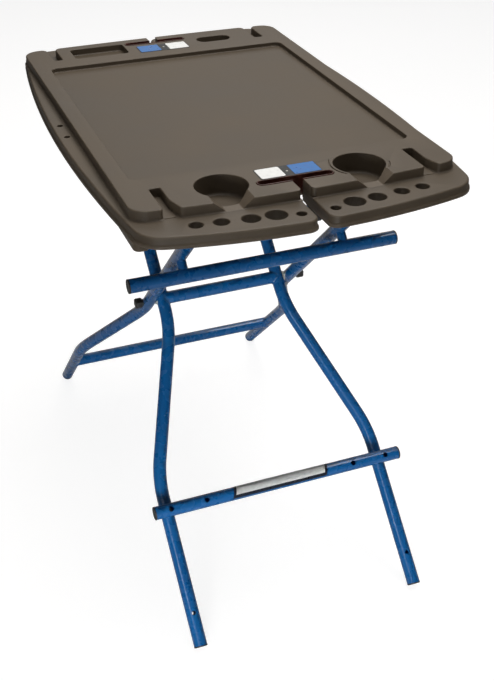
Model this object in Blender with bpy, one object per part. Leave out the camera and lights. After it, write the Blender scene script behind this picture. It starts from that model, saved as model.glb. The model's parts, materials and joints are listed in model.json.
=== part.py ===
# Portable folding workbench: a moulded deck on two nested scissor frames of round steel tube.
# Metres, +Z up. x runs left to right, y from front to rear, and the feet stand on z = 0.

import math

import bmesh
import bpy
from mathutils import Matrix, Vector

# Fits
SEAT_GAP = 0.0003
HOLE_CLEARANCE = 0.0003
HOOK_CLEARANCE = 0.0006

# How far a cutter runs past the face it opens, a flared rim past its face, an open slot past the
# edge, and a rib or boss into the wall that carries it
CUT_PAST = 0.002
RIM_PAST = 0.0005
MOUTH_PAST = 0.02
ROOT_DEPTH = 0.006

# Deck heights, measured down from its top face
DECK_HEIGHT = 0.979
LEDGE_DROP = 0.019
LEDGE_THICKNESS = 0.0225
RAIL_DEPTH = 0.017

# Raised plateau of the deck
PLATEAU_HALF_WIDTH = 0.3128
PLATEAU_FRONT = 0.472
PLATEAU_REAR = 0.4855
PLATEAU_FRONT_BOW = 0.189
PLATEAU_REAR_BOW = 0.06
PLATEAU_CORNER = 0.034
PLATEAU_FOOT_FILLET = 0.005
PLATEAU_EDGE = 0.0024

# Lower ledge round the plateau
LEDGE_HALF_WIDTH = 0.3446
LEDGE_FRONT = 0.556
LEDGE_REAR = 0.534
LEDGE_SIDE_BOW = 0.134
LEDGE_BOW_CENTRE = -0.032
LEDGE_FRONT_BOW = 0.42
LEDGE_REAR_BOW = 0.06
LEDGE_CORNER = 0.055
LEDGE_LIP = 0.003
LEDGE_LIP_HEIGHT = 0.010
LEDGE_LIP_EDGE = 0.0015
LEDGE_EDGE = 0.0032

# Rails under the long sides
RAIL_INSET = 0.024
RAIL_WIDTH = 0.030
RAIL_FRONT = 0.487
RAIL_REAR = 0.300
RAIL_CORNER = 0.012
RAIL_EDGE = 0.004
RAIL_FLARE = 0.001

# Work recess in the plateau
RECESS_HALF_WIDTH = 0.279
RECESS_FRONT = 0.3255
RECESS_REAR = 0.337
RECESS_DEPTH = 0.010
RECESS_CORNER = 0.016
RECESS_LIP = 0.0018
RECESS_FOOT = 0.002

# Cup wells and their V notches
CUP_X = 0.1345
CUP_Y = -0.4014
CUP_RADIUS = 0.0485
CUP_RIM = 0.0018
CUP_DEPTH = 0.040
CUP_FOOT = 0.006
CUP_FLOOR = 0.0045
CUP_WALL = 0.0035
CUP_BOSS_EDGE = 0.0015
NOTCH_TOP = 0.0365
NOTCH_BOTTOM = 0.0155
NOTCH_RIM = 0.002
NOTCH_TOE = 0.0015
NOTCH_STEP = 0.0008
NOTCH_INTO_CUP = 0.0215

# Corner pockets, open at the plateau's ends
POCKET_X = 0.2485
POCKET_WIDTH = 0.020
POCKET_FRONT_END = 0.3705
POCKET_REAR_END = 0.392
POCKET_FLARE = 0.010
POCKET_FLARE_LENGTH = 0.035
POCKET_REAR_ROUND = 0.014
POCKET_STEP = 0.0015

# Centre slots and cross slots
SLOT_WIDTH = 0.020
SLOT_CORNER = 0.020
CROSS_HALF_LENGTH = 0.0745
CROSS_WIDTH = 0.022
CROSS_FRONT_Y = -0.4195
CROSS_REAR_Y = 0.449
LINER_WALL = 0.0025
LINER_PROUD = 0.0010
LINER_EDGE = 0.0007
LINER_SHORT = 0.006

# Tray and oval well at the rear
TRAY_X = -0.144
TRAY_Y = 0.422
TRAY_LENGTH = 0.127
TRAY_WIDTH = 0.070
TRAY_DEPTH = 0.015
TRAY_CORNER = 0.009
TRAY_FOOT = 0.003
TRAY_RIM = 0.0015
WELL_X = 0.140
WELL_Y = 0.420
WELL_LENGTH = 0.083
WELL_WIDTH = 0.040
WELL_DEPTH = 0.0375
WELL_FOOT = 0.004
WELL_RIM = 0.002

# Tool holes through the front ledge, as (distance from the middle, y, diameter)
TOOL_HOLES = (
    (0.0321, -0.522, 0.018),
    (0.0740, -0.5105, 0.039),
    (0.1194, -0.508, 0.033),
    (0.1706, -0.502, 0.028),
    (0.2146, -0.4975, 0.025),
)
TOOL_HOLE_RIM = 0.002

# Two small recesses in the left ledge
DIMPLE_X = -0.3272
DIMPLE_Y = (-0.031, 0.033)
DIMPLE_DIAMETER = 0.012
DIMPLE_DEPTH = 0.006
DIMPLE_RIM = 0.0008

# Round tube of both frames
TUBE_DIAMETER = 0.0286
TUBE_WALL = 0.0018

# Scissor frames, distances along the leg from the pivot
LEG_LOWER = 0.760
LEG_UPPER = 0.4995
LEG_TOP_OVERHANG = 0.016
INNER_HALF_TOP = 0.1405
INNER_HALF_FOOT = 0.2515
FRAME_SPACING = 0.0315
JOG_START = 0.067
JOG_END = 0.397
BEND_RADIUS = 0.28
CROSS_TUBE_AT = 0.5667
HINGE_DROP = 0.0614

# Bars bolted to the frames on standoffs; the overhang is past the lower bar's bolts
BAR_OVERHANG = 0.0358
BAR_OFFSET = 0.042
LOWER_BAR_AT = -0.4704
UPPER_BAR_AT = 0.3496
BAR_ACCESS_DIAMETER = 0.011
STANDOFF_DIAMETER = 0.020

# Plugs in the tube ends
PLUG_FLANGE = 0.003
PLUG_SHANK = 0.016
TOP_PLUG_SHANK = 0.009
PLUG_OVERHANG = 0.0003
PLUG_EDGE = 0.0008
FOOT_FLAT = 0.0006

# Small holes near the feet
FOOT_HOLE_AT = 0.689
FOOT_HOLE_DIAMETER = 0.0084

# Fasteners
BAR_BOLT_DIAMETER = 0.006
BAR_BOLT_HEAD = 0.010
BAR_BOLT_HEAD_HEIGHT = 0.006
BAR_BOLT_SOCKET = 0.0045
BAR_BOLT_SOCKET_DEPTH = 0.0036
BAR_NUT_ACROSS = 0.010
BAR_NUT_HEIGHT = 0.005
HINGE_BOLT_DIAMETER = 0.008
HINGE_NUT_ACROSS = 0.013
HINGE_NUT_HEIGHT = 0.0065
HINGE_HEAD_HEIGHT = 0.0052
HEX_EDGE = 0.0006
THREAD_PAST = 0.002
SCREW_DIAMETER = 0.0042
SCREW_LENGTH = 0.012
SCREW_HEAD = 0.009
SCREW_HEAD_HEIGHT = 0.0026
SCREW_CROWN = 0.0054
SCREW_POINT = 0.0025

# Hinge brackets
EAR_GAP = 0.0005
EAR_THICKNESS = 0.003
EAR_RADIUS = 0.013
EAR_FLARE = 0.006
EAR_FLARE_HEIGHT = 0.012
BRACKET_BASE = 0.0025
BRACKET_HALF_LENGTH = 0.029
BRACKET_HALF_WIDTH = 0.0225
BRACKET_SCREW_AT = 0.022
BRACKET_CORNER = 0.004

# Latch hooks
HOOK_X = 0.062
HOOK_WIDTH = 0.024
HOOK_WALL = 0.0045
HOOK_LIP = 0.008
HOOK_NOSE = 0.002
HOOK_BACK = 0.0165
HOOK_BACK_TOP = 0.014
HOOK_SHOULDER = 0.006
HOOK_NECK = 0.010
HOOK_NECK_TOP = 0.013
HOOK_NECK_HEIGHT = 0.009
HOOK_BASE = 0.004
HOOK_BASE_HALF = 0.031
HOOK_BASE_CORNER = 0.005
HOOK_SCREW_AT = 0.024

# Pivot
STUD_DIAMETER = 0.008
STUD_EDGE = 0.001
WASHER_DIAMETER = 0.022
INSERT_LENGTH = 0.016
INSERT_DEPTH = 0.0165
KNOB_DIAMETER = 0.026
KNOB_LENGTH = 0.019
KNOB_NECK = 0.0035
KNOB_NECK_DIAMETER = 0.017
KNOB_STEP = 0.001
KNOB_EDGE = 0.003
KNOB_LOBES = 6
KNOB_LOBE_DEPTH = 0.0016
STUD_IN_KNOB = 0.013

# Facets, in sides of a full round or steps of a bend, a corner or a lobe
TUBE_SIDES = 12
BEND_STEPS = 4
BORE_BEND_STEPS = 2
CORNER_STEPS = 4
SMALL_CORNER_STEPS = 3
LEDGE_STEPS = 5
CUP_SIDES = 24
COPE_SIDES = 16
HOLE_SIDES = 16
SHANK_SIDES = 12
BOLT_SIDES = 8
LOBE_STEPS = 6
SHARP_ANGLE = 32
MITRE_LIMIT = 0.5
MERGE_DISTANCE = 0.000002

# Values that follow from those above
TUBE_RADIUS = TUBE_DIAMETER / 2
BORE_RADIUS = TUBE_RADIUS - TUBE_WALL
PLUG_RADIUS = TUBE_RADIUS + PLUG_OVERHANG
COPE_RADIUS = (TUBE_RADIUS + SEAT_GAP) / math.cos(math.pi / COPE_SIDES)
BAR_LENGTH = 2 * (INNER_HALF_FOOT + BAR_OVERHANG)
LEDGE_TOP = -LEDGE_DROP
UNDERSIDE = LEDGE_TOP - LEDGE_THICKNESS
HINGE_HEIGHT = DECK_HEIGHT + UNDERSIDE - HINGE_DROP
OUTER_HALF_TOP = INNER_HALF_TOP + FRAME_SPACING
OUTER_HALF_FOOT = INNER_HALF_FOOT + FRAME_SPACING
LEG_REACH = math.hypot(LEG_LOWER + LEG_UPPER, PLUG_RADIUS)
LEG_ANGLE = math.asin((HINGE_HEIGHT + FOOT_FLAT) / LEG_REACH) - math.atan2(PLUG_RADIUS, LEG_LOWER + LEG_UPPER)
PIVOT_HEIGHT = HINGE_HEIGHT - LEG_UPPER * math.sin(LEG_ANGLE)
HINGE_Y = LEG_UPPER * math.cos(LEG_ANGLE)
KNOB_BASE = OUTER_HALF_TOP + TUBE_RADIUS + SEAT_GAP


# Scene, materials and placing

def clear_scene():
    for item in list(bpy.data.objects):
        bpy.data.objects.remove(item, do_unlink=True)


def linear(value):
    value = value / 255
    return value / 12.92 if value <= 0.04045 else ((value + 0.055) / 1.055) ** 2.4


def make_material(name, colour, roughness, metallic):
    material = bpy.data.materials.new(name)
    material.use_nodes = True
    shader = material.node_tree.nodes["Principled BSDF"]
    shader.inputs["Base Color"].default_value = [linear(channel) for channel in colour] + [1.0]
    shader.inputs["Roughness"].default_value = roughness
    shader.inputs["Metallic"].default_value = metallic
    return material


def make_materials():
    return {
        "deck": make_material("moulded_plastic", (112, 100, 87), 0.6, 0.0),
        "liner": make_material("liner_plastic", (60, 34, 28), 0.5, 0.0),
        "paint": make_material("blue_paint", (14, 66, 128), 0.32, 0.1),
        "black": make_material("black_plastic", (24, 24, 25), 0.5, 0.0),
        "zinc": make_material("zinc_steel", (160, 162, 165), 0.35, 0.9),
        "nylon": make_material("nylon", (205, 203, 196), 0.5, 0.0),
    }


def make_empty(name, parent, location, rotation_x=0.0):
    empty = bpy.data.objects.new(name, None)
    bpy.context.collection.objects.link(empty)
    empty.parent = parent
    empty.location = location
    empty.rotation_euler = (rotation_x, 0.0, 0.0)
    return empty


def add_piece(name, mesh, parent, material, location=(0.0, 0.0, 0.0)):
    mesh.name = name
    mesh.materials.clear()
    mesh.materials.append(material)
    mesh.shade_smooth()
    mesh.set_sharp_from_angle(angle=math.radians(SHARP_ANGLE))
    piece = bpy.data.objects.new(name, mesh)
    bpy.context.collection.objects.link(piece)
    piece.parent = parent
    piece.location = location
    return piece


# Outlines in a plane, as counter-clockwise lists of (x, y)

def arc(centre, radius, start, end, steps):
    points = []
    for step in range(steps + 1):
        angle = math.radians(start + (end - start) * step / steps)
        points.append((centre[0] + radius * math.cos(angle), centre[1] + radius * math.sin(angle)))
    return points


def circle(radius, sides, centre=(0.0, 0.0)):
    return arc(centre, radius, 0, 360, sides)[:-1]


def rounded_rectangle(left, right, front, rear, radius, steps=CORNER_STEPS, sides=(1, 1, 1, 1)):
    corners = [
        arc((left + radius, front + radius), radius, 180, 270, steps),
        arc((right - radius, front + radius), radius, 270, 360, steps),
        arc((right - radius, rear - radius), radius, 0, 90, steps),
        arc((left + radius, rear - radius), radius, 90, 180, steps),
    ]
    points = []
    for index, corner in enumerate(corners):
        points += corner
        start = corner[-1]
        end = corners[(index + 1) % 4][0]
        count = sides[index]
        for step in range(1, count):
            share = step / count
            points.append((start[0] + (end[0] - start[0]) * share, start[1] + (end[1] - start[1]) * share))
    return points


def hexagon(across):
    points = []
    for step in range(12):
        angle = math.radians(30 * step)
        radius = across / 2 if step % 2 == 0 else across / 2 / math.cos(math.radians(30))
        points.append((radius * math.cos(angle), radius * math.sin(angle)))
    return points


def inset(points, distance):
    moved = []
    count = len(points)
    for index, point in enumerate(points):
        before = Vector(points[index - 1])
        after = Vector(points[(index + 1) % count])
        here = Vector(point)
        first = (here - before).normalized()
        second = (after - here).normalized()
        normal = Vector((-first.y - second.y, first.x + second.x)).normalized()
        spread = max(MITRE_LIMIT, normal.dot(Vector((-first.y, first.x))))
        moved.append(tuple(here + normal * (distance / spread)))
    return moved


# Solids

def mesh_from(bm):
    bmesh.ops.recalc_face_normals(bm, faces=bm.faces[:])
    mesh = bpy.data.meshes.new("solid")
    bm.to_mesh(mesh)
    bm.free()
    return mesh


def loft(rings, hollow=False):
    bm = bmesh.new()
    loops = [[bm.verts.new(point) for point in ring] for ring in rings]
    pairs = list(zip(loops, loops[1:]))
    if hollow:
        pairs.append((loops[-1], loops[0]))
    for lower, upper in pairs:
        for index in range(len(lower)):
            following = (index + 1) % len(lower)
            bm.faces.new((lower[index], lower[following], upper[following], upper[index]))
    if not hollow:
        bm.faces.new(loops[0][::-1])
        bm.faces.new(loops[-1])
    return mesh_from(bm)


def stack(outline, profile, hollow=False):
    # Each profile entry is (inset, z)
    rings = []
    for distance, height in profile:
        rings.append([(x, y, height) for x, y in inset(outline, distance)])
    return loft(rings, hollow)


def prism(outline, low, high):
    return loft([[(x, y, low) for x, y in outline], [(x, y, high) for x, y in outline]])


def turned(profile, sides, hollow=False):
    # Each profile entry is (radius, z)
    rings = []
    for radius, height in profile:
        rings.append([(x, y, height) for x, y in circle(radius, sides)])
    return loft(rings, hollow)


def ring_mesh(radius, hole, length, sides):
    return turned([(radius, 0.0), (radius, length), (hole, length), (hole, 0.0)], sides, hollow=True)


def box(low, high):
    outline = [(low[0], low[1]), (high[0], low[1]), (high[0], high[1]), (low[0], high[1])]
    return prism(outline, low[2], high[2])


def moved(mesh, x=0.0, y=0.0, z=0.0):
    mesh.transform(Matrix.Translation((x, y, z)))
    return mesh


def along_x(mesh, direction=1):
    # Turns a solid built along +Z so that it runs along +X or -X
    mesh.transform(Matrix.Rotation(direction * math.radians(90), 4, "Y"))
    return mesh


def along_y(mesh, direction=1):
    mesh.transform(Matrix.Rotation(-direction * math.radians(90), 4, "X"))
    return mesh


def rod(radius, start, end, axis, sides=BOLT_SIDES, centre=(0.0, 0.0)):
    # A plain cylinder from start to end along an axis, centred at the other two coordinates
    mesh = turned([(radius, start), (radius, end)], sides)
    if axis == "X":
        return moved(along_x(mesh), 0, centre[0], centre[1])
    if axis == "Y":
        return moved(along_y(mesh), centre[0], 0, centre[1])
    return moved(mesh, centre[0], centre[1], 0)


def joined(meshes):
    bm = bmesh.new()
    for mesh in meshes:
        bm.from_mesh(mesh)
    for mesh in meshes:
        bpy.data.meshes.remove(mesh)
    mesh = bpy.data.meshes.new("solid")
    bm.to_mesh(mesh)
    bm.free()
    return mesh


def combine(base_mesh, tools, operation):
    base = bpy.data.objects.new("base", base_mesh)
    bpy.context.collection.objects.link(base)
    cutters = []
    for tool in tools:
        cutter = bpy.data.objects.new("cutter", tool)
        bpy.context.collection.objects.link(cutter)
        cutters.append(cutter)
        modifier = base.modifiers.new("combine", "BOOLEAN")
        modifier.operation = operation
        modifier.solver = "EXACT"
        modifier.object = cutter
    bpy.context.view_layer.update()
    evaluated = base.evaluated_get(bpy.context.evaluated_depsgraph_get())
    result = bpy.data.meshes.new_from_object(evaluated)
    for item in [base] + cutters:
        mesh = item.data
        bpy.data.objects.remove(item)
        bpy.data.meshes.remove(mesh)
    return tidied(result)


def tidied(mesh):
    bm = bmesh.new()
    bm.from_mesh(mesh)
    bmesh.ops.remove_doubles(bm, verts=bm.verts[:], dist=MERGE_DISTANCE)
    bmesh.ops.dissolve_degenerate(bm, edges=bm.edges[:], dist=MERGE_DISTANCE)
    bm.to_mesh(mesh)
    bm.free()
    return mesh


def unite(base, *others):
    return combine(base, others, "UNION")


def cut(base, *cutters):
    return combine(base, cutters, "DIFFERENCE")


# Deck

def plateau_outline():
    points = rounded_rectangle(-PLATEAU_HALF_WIDTH, PLATEAU_HALF_WIDTH, -PLATEAU_FRONT, PLATEAU_REAR,
                               PLATEAU_CORNER, sides=(8, 1, 8, 1))
    bowed = []
    for x, y in points:
        reach, bow = (PLATEAU_FRONT, PLATEAU_FRONT_BOW) if y < 0 else (PLATEAU_REAR, PLATEAU_REAR_BOW)
        bowed.append((x, y - math.copysign(bow * x * x, y) * abs(y) / reach))
    return bowed


def ledge_outline():
    points = rounded_rectangle(-LEDGE_HALF_WIDTH, LEDGE_HALF_WIDTH, -LEDGE_FRONT, LEDGE_REAR,
                               LEDGE_CORNER, LEDGE_STEPS, (6, 6, 4, 6))
    bowed = []
    for x, y in points:
        reach, bow = (LEDGE_FRONT, LEDGE_FRONT_BOW) if y < 0 else (LEDGE_REAR, LEDGE_REAR_BOW)
        pinch = LEDGE_SIDE_BOW * (y - LEDGE_BOW_CENTRE) ** 2 / LEDGE_HALF_WIDTH
        bowed.append((x * (1 - pinch), y - math.copysign(bow * x * x, y) * abs(y) / reach))
    return bowed


def nose_reach(x, rear):
    if rear:
        return LEDGE_REAR - LEDGE_REAR_BOW * x * x
    return -LEDGE_FRONT + LEDGE_FRONT_BOW * x * x


def plateau_body():
    foot = PLATEAU_FOOT_FILLET
    edge = PLATEAU_EDGE
    return stack(plateau_outline(), [
        (-foot, LEDGE_TOP - foot * 0.5),
        (-foot, LEDGE_TOP + foot * 0.1),
        (-foot * 0.25, LEDGE_TOP + foot * 0.7),
        (0.0, -edge),
        (edge * 0.3, -edge * 0.3),
        (edge, 0.0),
    ])


def ledge_body():
    edge = LEDGE_EDGE
    lip = LEDGE_LIP
    return stack(ledge_outline(), [
        (0.0, UNDERSIDE),
        (-lip, UNDERSIDE + LEDGE_LIP_EDGE),
        (-lip, UNDERSIDE + LEDGE_LIP_HEIGHT * 0.5),
        (0.0, UNDERSIDE + LEDGE_LIP_HEIGHT),
        (0.0, LEDGE_TOP - edge),
        (edge * 0.3, LEDGE_TOP - edge * 0.3),
        (edge, LEDGE_TOP),
    ])


def rail_body(side):
    outer = LEDGE_HALF_WIDTH - RAIL_INSET
    ends = sorted((side * outer, side * (outer - RAIL_WIDTH)))
    outline = rounded_rectangle(ends[0], ends[1], -RAIL_FRONT, RAIL_REAR, RAIL_CORNER, SMALL_CORNER_STEPS)
    bottom = UNDERSIDE - RAIL_DEPTH
    return stack(outline, [
        (RAIL_EDGE * 0.6, bottom),
        (0.0, bottom + RAIL_EDGE),
        (-RAIL_FLARE, UNDERSIDE + ROOT_DEPTH),
    ])


def cup_boss(side):
    radius = CUP_RADIUS + CUP_WALL
    bottom = -CUP_DEPTH - CUP_FLOOR
    boss = turned([
        (radius - CUP_BOSS_EDGE, bottom),
        (radius, bottom + CUP_BOSS_EDGE),
        (radius, UNDERSIDE + ROOT_DEPTH),
    ], CUP_SIDES)
    return moved(boss, side * CUP_X, CUP_Y)


def recess_cutter():
    lip = RECESS_LIP
    outline = rounded_rectangle(-RECESS_HALF_WIDTH, RECESS_HALF_WIDTH, -RECESS_FRONT, RECESS_REAR,
                                RECESS_CORNER)
    return stack(outline, [
        (RECESS_FOOT, -RECESS_DEPTH),
        (0.0, -RECESS_DEPTH + RECESS_FOOT),
        (0.0, -lip),
        (-lip * 0.3, -lip * 0.3),
        (-lip - RIM_PAST, RIM_PAST * 0.3),
    ])


def cup_cutter(side):
    rim = CUP_RIM
    well = turned([
        (CUP_RADIUS - CUP_FOOT, -CUP_DEPTH),
        (CUP_RADIUS, -CUP_DEPTH + CUP_FOOT),
        (CUP_RADIUS, -rim),
        (CUP_RADIUS + rim * 0.3, -rim * 0.3),
        (CUP_RADIUS + rim + RIM_PAST, RIM_PAST * 0.3),
    ], CUP_SIDES)
    return moved(well, side * CUP_X, CUP_Y)


def notch_cutter(side):
    floor = LEDGE_TOP + NOTCH_STEP
    section = [
        (-NOTCH_TOP - NOTCH_RIM, NOTCH_RIM),
        (-NOTCH_TOP + NOTCH_RIM, -NOTCH_RIM),
        (-NOTCH_BOTTOM - NOTCH_TOE, floor + NOTCH_TOE),
        (-NOTCH_BOTTOM, floor),
    ]
    section += [(-x, z) for x, z in reversed(section)]
    near = CUP_Y - NOTCH_INTO_CUP
    far = -PLATEAU_FRONT - MOUTH_PAST
    middle = side * CUP_X
    return loft([[(middle + x, y, z) for x, z in section] for y in (far, near)])


def mouth_outline(half, start, edge, corner):
    # A slot from start that opens at an edge, with its two mouth corners rounded outwards
    direction = math.copysign(1, edge - start)
    rounding = arc((half + corner, edge - direction * corner), corner, 180, 180 - direction * 90, CORNER_STEPS)
    right = [(half, start)] + rounding + [(half + corner, edge + direction * MOUTH_PAST)]
    return right + [(-x, y) for x, y in reversed(right)]


def pocket_cutter(side, rear):
    half = POCKET_WIDTH / 2
    if rear:
        wall = PLATEAU_REAR - PLATEAU_REAR_BOW * POCKET_X ** 2
        outline = mouth_outline(half, POCKET_REAR_END, wall, POCKET_REAR_ROUND)
    else:
        wall = -PLATEAU_FRONT + PLATEAU_FRONT_BOW * POCKET_X ** 2
        far = wall - MOUTH_PAST
        outline = [(-half, far), (half + POCKET_FLARE, far), (half + POCKET_FLARE, wall),
                   (half + POCKET_FLARE * 0.55, wall + POCKET_FLARE_LENGTH * 0.35),
                   (half, wall + POCKET_FLARE_LENGTH), (half, -POCKET_FRONT_END), (-half, -POCKET_FRONT_END)]
    return moved(prism(outline, LEDGE_TOP + POCKET_STEP, CUT_PAST), side * POCKET_X)


def round_ended(middle, length, width, gap=0.0):
    # A slot's outline with half-round ends, drawn in all round by the gap
    radius = width / 2 - gap
    reach = length / 2 - width / 2
    right = arc((middle[0] + reach, middle[1]), radius, -90, 90, 2 * CORNER_STEPS)
    left = arc((middle[0] - reach, middle[1]), radius, 90, 270, 2 * CORNER_STEPS)
    return right + left


def cross_outline(y, gap=0.0):
    return round_ended((0.0, y), 2 * CROSS_HALF_LENGTH, CROSS_WIDTH, gap)


def cross_cutter(y):
    return prism(cross_outline(y), UNDERSIDE - CUT_PAST, CUT_PAST)


def slot_cutter(y, rear):
    half = SLOT_WIDTH / 2
    outline = mouth_outline(half, y, nose_reach(half + SLOT_CORNER, rear), SLOT_CORNER)
    return prism(outline, UNDERSIDE - 2 * CUT_PAST, 2 * CUT_PAST)


def tray_cutter():
    outline = rounded_rectangle(TRAY_X - TRAY_LENGTH / 2, TRAY_X + TRAY_LENGTH / 2,
                                TRAY_Y - TRAY_WIDTH / 2, TRAY_Y + TRAY_WIDTH / 2, TRAY_CORNER,
                                SMALL_CORNER_STEPS)
    return stack(outline, [(TRAY_FOOT, -TRAY_DEPTH), (0.0, -TRAY_DEPTH + TRAY_FOOT),
                           (0.0, -TRAY_RIM), (-TRAY_RIM - RIM_PAST, RIM_PAST)])


def well_cutter():
    outline = round_ended((WELL_X, WELL_Y), WELL_LENGTH, WELL_WIDTH)
    return stack(outline, [(WELL_FOOT, -WELL_DEPTH), (0.0, -WELL_DEPTH + WELL_FOOT),
                           (0.0, -WELL_RIM), (-WELL_RIM - RIM_PAST, RIM_PAST)])


def tool_hole_cutter(x, y, diameter):
    rim = TOOL_HOLE_RIM
    radius = diameter / 2
    hole = turned([
        (radius, UNDERSIDE - CUT_PAST),
        (radius, LEDGE_TOP - rim),
        (radius + rim + RIM_PAST, LEDGE_TOP + RIM_PAST),
    ], HOLE_SIDES)
    return moved(hole, x, y)


def dimple_cutter(y):
    radius = DIMPLE_DIAMETER / 2
    dimple = turned([
        (radius, LEDGE_TOP - DIMPLE_DEPTH),
        (radius, LEDGE_TOP - DIMPLE_RIM),
        (radius + DIMPLE_RIM + RIM_PAST, LEDGE_TOP + RIM_PAST),
    ], SHANK_SIDES)
    return moved(dimple, DIMPLE_X, y)


def screw_places():
    # (name, x, y, plate thickness) of every screw under the deck: two for each bracket and each hook
    places = []
    for side, label in ((-1, "left"), (1, "right")):
        for end, row in ((-1, "front"), (1, "rear")):
            name = label + "_" + row
            places.append(("bracket_screw_" + name, side * INNER_HALF_TOP,
                           HINGE_Y + end * BRACKET_SCREW_AT, BRACKET_BASE))
            places.append(("hook_screw_" + name, side * HOOK_X,
                           -HINGE_Y + end * HOOK_SCREW_AT, HOOK_BASE))
    return places


def screw_hole_cutters():
    radius = SCREW_DIAMETER / 2 + HOLE_CLEARANCE
    depth = UNDERSIDE + SCREW_LENGTH + SEAT_GAP
    return [rod(radius, UNDERSIDE - CUT_PAST, depth, "Z", centre=(x, y)) for _, x, y, _ in screw_places()]


def deck_mesh():
    deck = unite(ledge_body(), plateau_body(), rail_body(-1), rail_body(1), cup_boss(-1), cup_boss(1))
    wells = [recess_cutter(), tray_cutter(), well_cutter(), cup_cutter(-1), cup_cutter(1)]
    wells += [cross_cutter(CROSS_FRONT_Y), cross_cutter(CROSS_REAR_Y)]
    wells += [pocket_cutter(side, rear) for side in (-1, 1) for rear in (False, True)]
    wells += [tool_hole_cutter(side * x, y, diameter) for side in (-1, 1) for x, y, diameter in TOOL_HOLES]
    wells += [dimple_cutter(y) for y in DIMPLE_Y]
    wells += screw_hole_cutters()
    deck = cut(deck, joined(wells))
    passages = [slot_cutter(CROSS_FRONT_Y, False), slot_cutter(CROSS_REAR_Y, True)]
    passages += [notch_cutter(-1), notch_cutter(1)]
    return cut(deck, joined(passages))


def liner_mesh(y, rear):
    outline = cross_outline(y, SEAT_GAP)
    low = UNDERSIDE + LINER_SHORT
    shell = stack(outline, [
        (0.0, low),
        (0.0, LINER_PROUD - LINER_EDGE),
        (LINER_WALL / 2, LINER_PROUD),
        (LINER_WALL, LINER_PROUD - LINER_EDGE),
        (LINER_WALL, low),
    ], hollow=True)
    half = SLOT_WIDTH / 2
    span = sorted((y, y + math.copysign(CROSS_WIDTH, 1 if rear else -1)))
    return cut(shell, box((-half, span[0], low - CUT_PAST), (half, span[1], LINER_PROUD + CUT_PAST)))


def build_deck(hinge, materials):
    origin = (0.0, -HINGE_Y, DECK_HEIGHT - HINGE_HEIGHT)
    add_piece("deck", deck_mesh(), hinge, materials["deck"], origin)
    add_piece("front_slot_liner", liner_mesh(CROSS_FRONT_Y, False), hinge, materials["liner"], origin)
    add_piece("rear_slot_liner", liner_mesh(CROSS_REAR_Y, True), hinge, materials["liner"], origin)


# Fasteners

def nut_mesh(across, hole, height):
    outline = hexagon(across)
    bore = circle(hole, SHANK_SIDES)
    rings = [
        [(x, y, 0.0) for x, y in outline],
        [(x, y, height - HEX_EDGE) for x, y in outline],
        [(x, y, height) for x, y in inset(outline, HEX_EDGE)],
        [(x, y, height) for x, y in bore],
        [(x, y, 0.0) for x, y in bore],
    ]
    return loft(rings, hollow=True)


def hex_bolt_mesh(across, head_height, radius, length):
    # The head stands on z = 0 and the shank runs down from it
    outline = hexagon(across)
    shank = circle(radius, SHANK_SIDES)
    rings = [
        [(x, y, -length) for x, y in shank],
        [(x, y, 0.0) for x, y in shank],
        [(x, y, 0.0) for x, y in outline],
        [(x, y, head_height - HEX_EDGE) for x, y in outline],
        [(x, y, head_height) for x, y in inset(outline, HEX_EDGE)],
    ]
    return loft(rings)


def cap_screw_mesh(head, head_height, diameter, length, socket, socket_depth):
    # The head stands on z = 0, with a round socket in its top, and the shank runs down from it
    return turned([
        (diameter / 2, -length),
        (diameter / 2, 0.0),
        (head / 2, 0.0),
        (head / 2, head_height),
        (socket / 2, head_height),
        (socket / 2, head_height - socket_depth),
    ], BOLT_SIDES)


def deck_screw_mesh():
    return turned([
        (SCREW_CROWN / 2, -SCREW_HEAD_HEIGHT),
        (SCREW_HEAD / 2, 0.0),
        (SCREW_DIAMETER / 2, 0.0),
        (SCREW_POINT / 2, SCREW_LENGTH),
    ], BOLT_SIDES)


# Hinge brackets and latch hooks, placed from the hinge axis

def bracket_mesh():
    # x is measured from the leg's centre, y from the hinge axis, and z from the axis up to the deck
    top = HINGE_DROP - SEAT_GAP
    plate_low = top - BRACKET_BASE
    near = TUBE_RADIUS + EAR_GAP
    far = near + EAR_THICKNESS
    base = prism(rounded_rectangle(-BRACKET_HALF_WIDTH, BRACKET_HALF_WIDTH, -BRACKET_HALF_LENGTH,
                                   BRACKET_HALF_LENGTH, BRACKET_CORNER, SMALL_CORNER_STEPS), plate_low, top)
    root = plate_low + BRACKET_BASE / 2
    flare = plate_low - EAR_FLARE_HEIGHT
    profile = arc((0.0, 0.0), EAR_RADIUS, 180, 360, 10)
    profile += [(EAR_RADIUS, flare), (EAR_RADIUS + EAR_FLARE, root),
                (-EAR_RADIUS - EAR_FLARE, root), (-EAR_RADIUS, flare)]
    ears = []
    for side in (-1, 1):
        ears.append(loft([[(side * x, y, z) for y, z in profile] for x in (near, far)]))
    bracket = unite(base, ears[0], ears[1])
    bolt_hole = rod(HINGE_BOLT_DIAMETER / 2 + HOLE_CLEARANCE, -far - CUT_PAST, far + CUT_PAST, "X")
    screw_holes = [rod(SCREW_DIAMETER / 2 + HOLE_CLEARANCE, plate_low - CUT_PAST, top + CUT_PAST, "Z",
                       centre=(0.0, end * BRACKET_SCREW_AT)) for end in (-1, 1)]
    return cut(bracket, joined([bolt_hole] + screw_holes))


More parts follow.
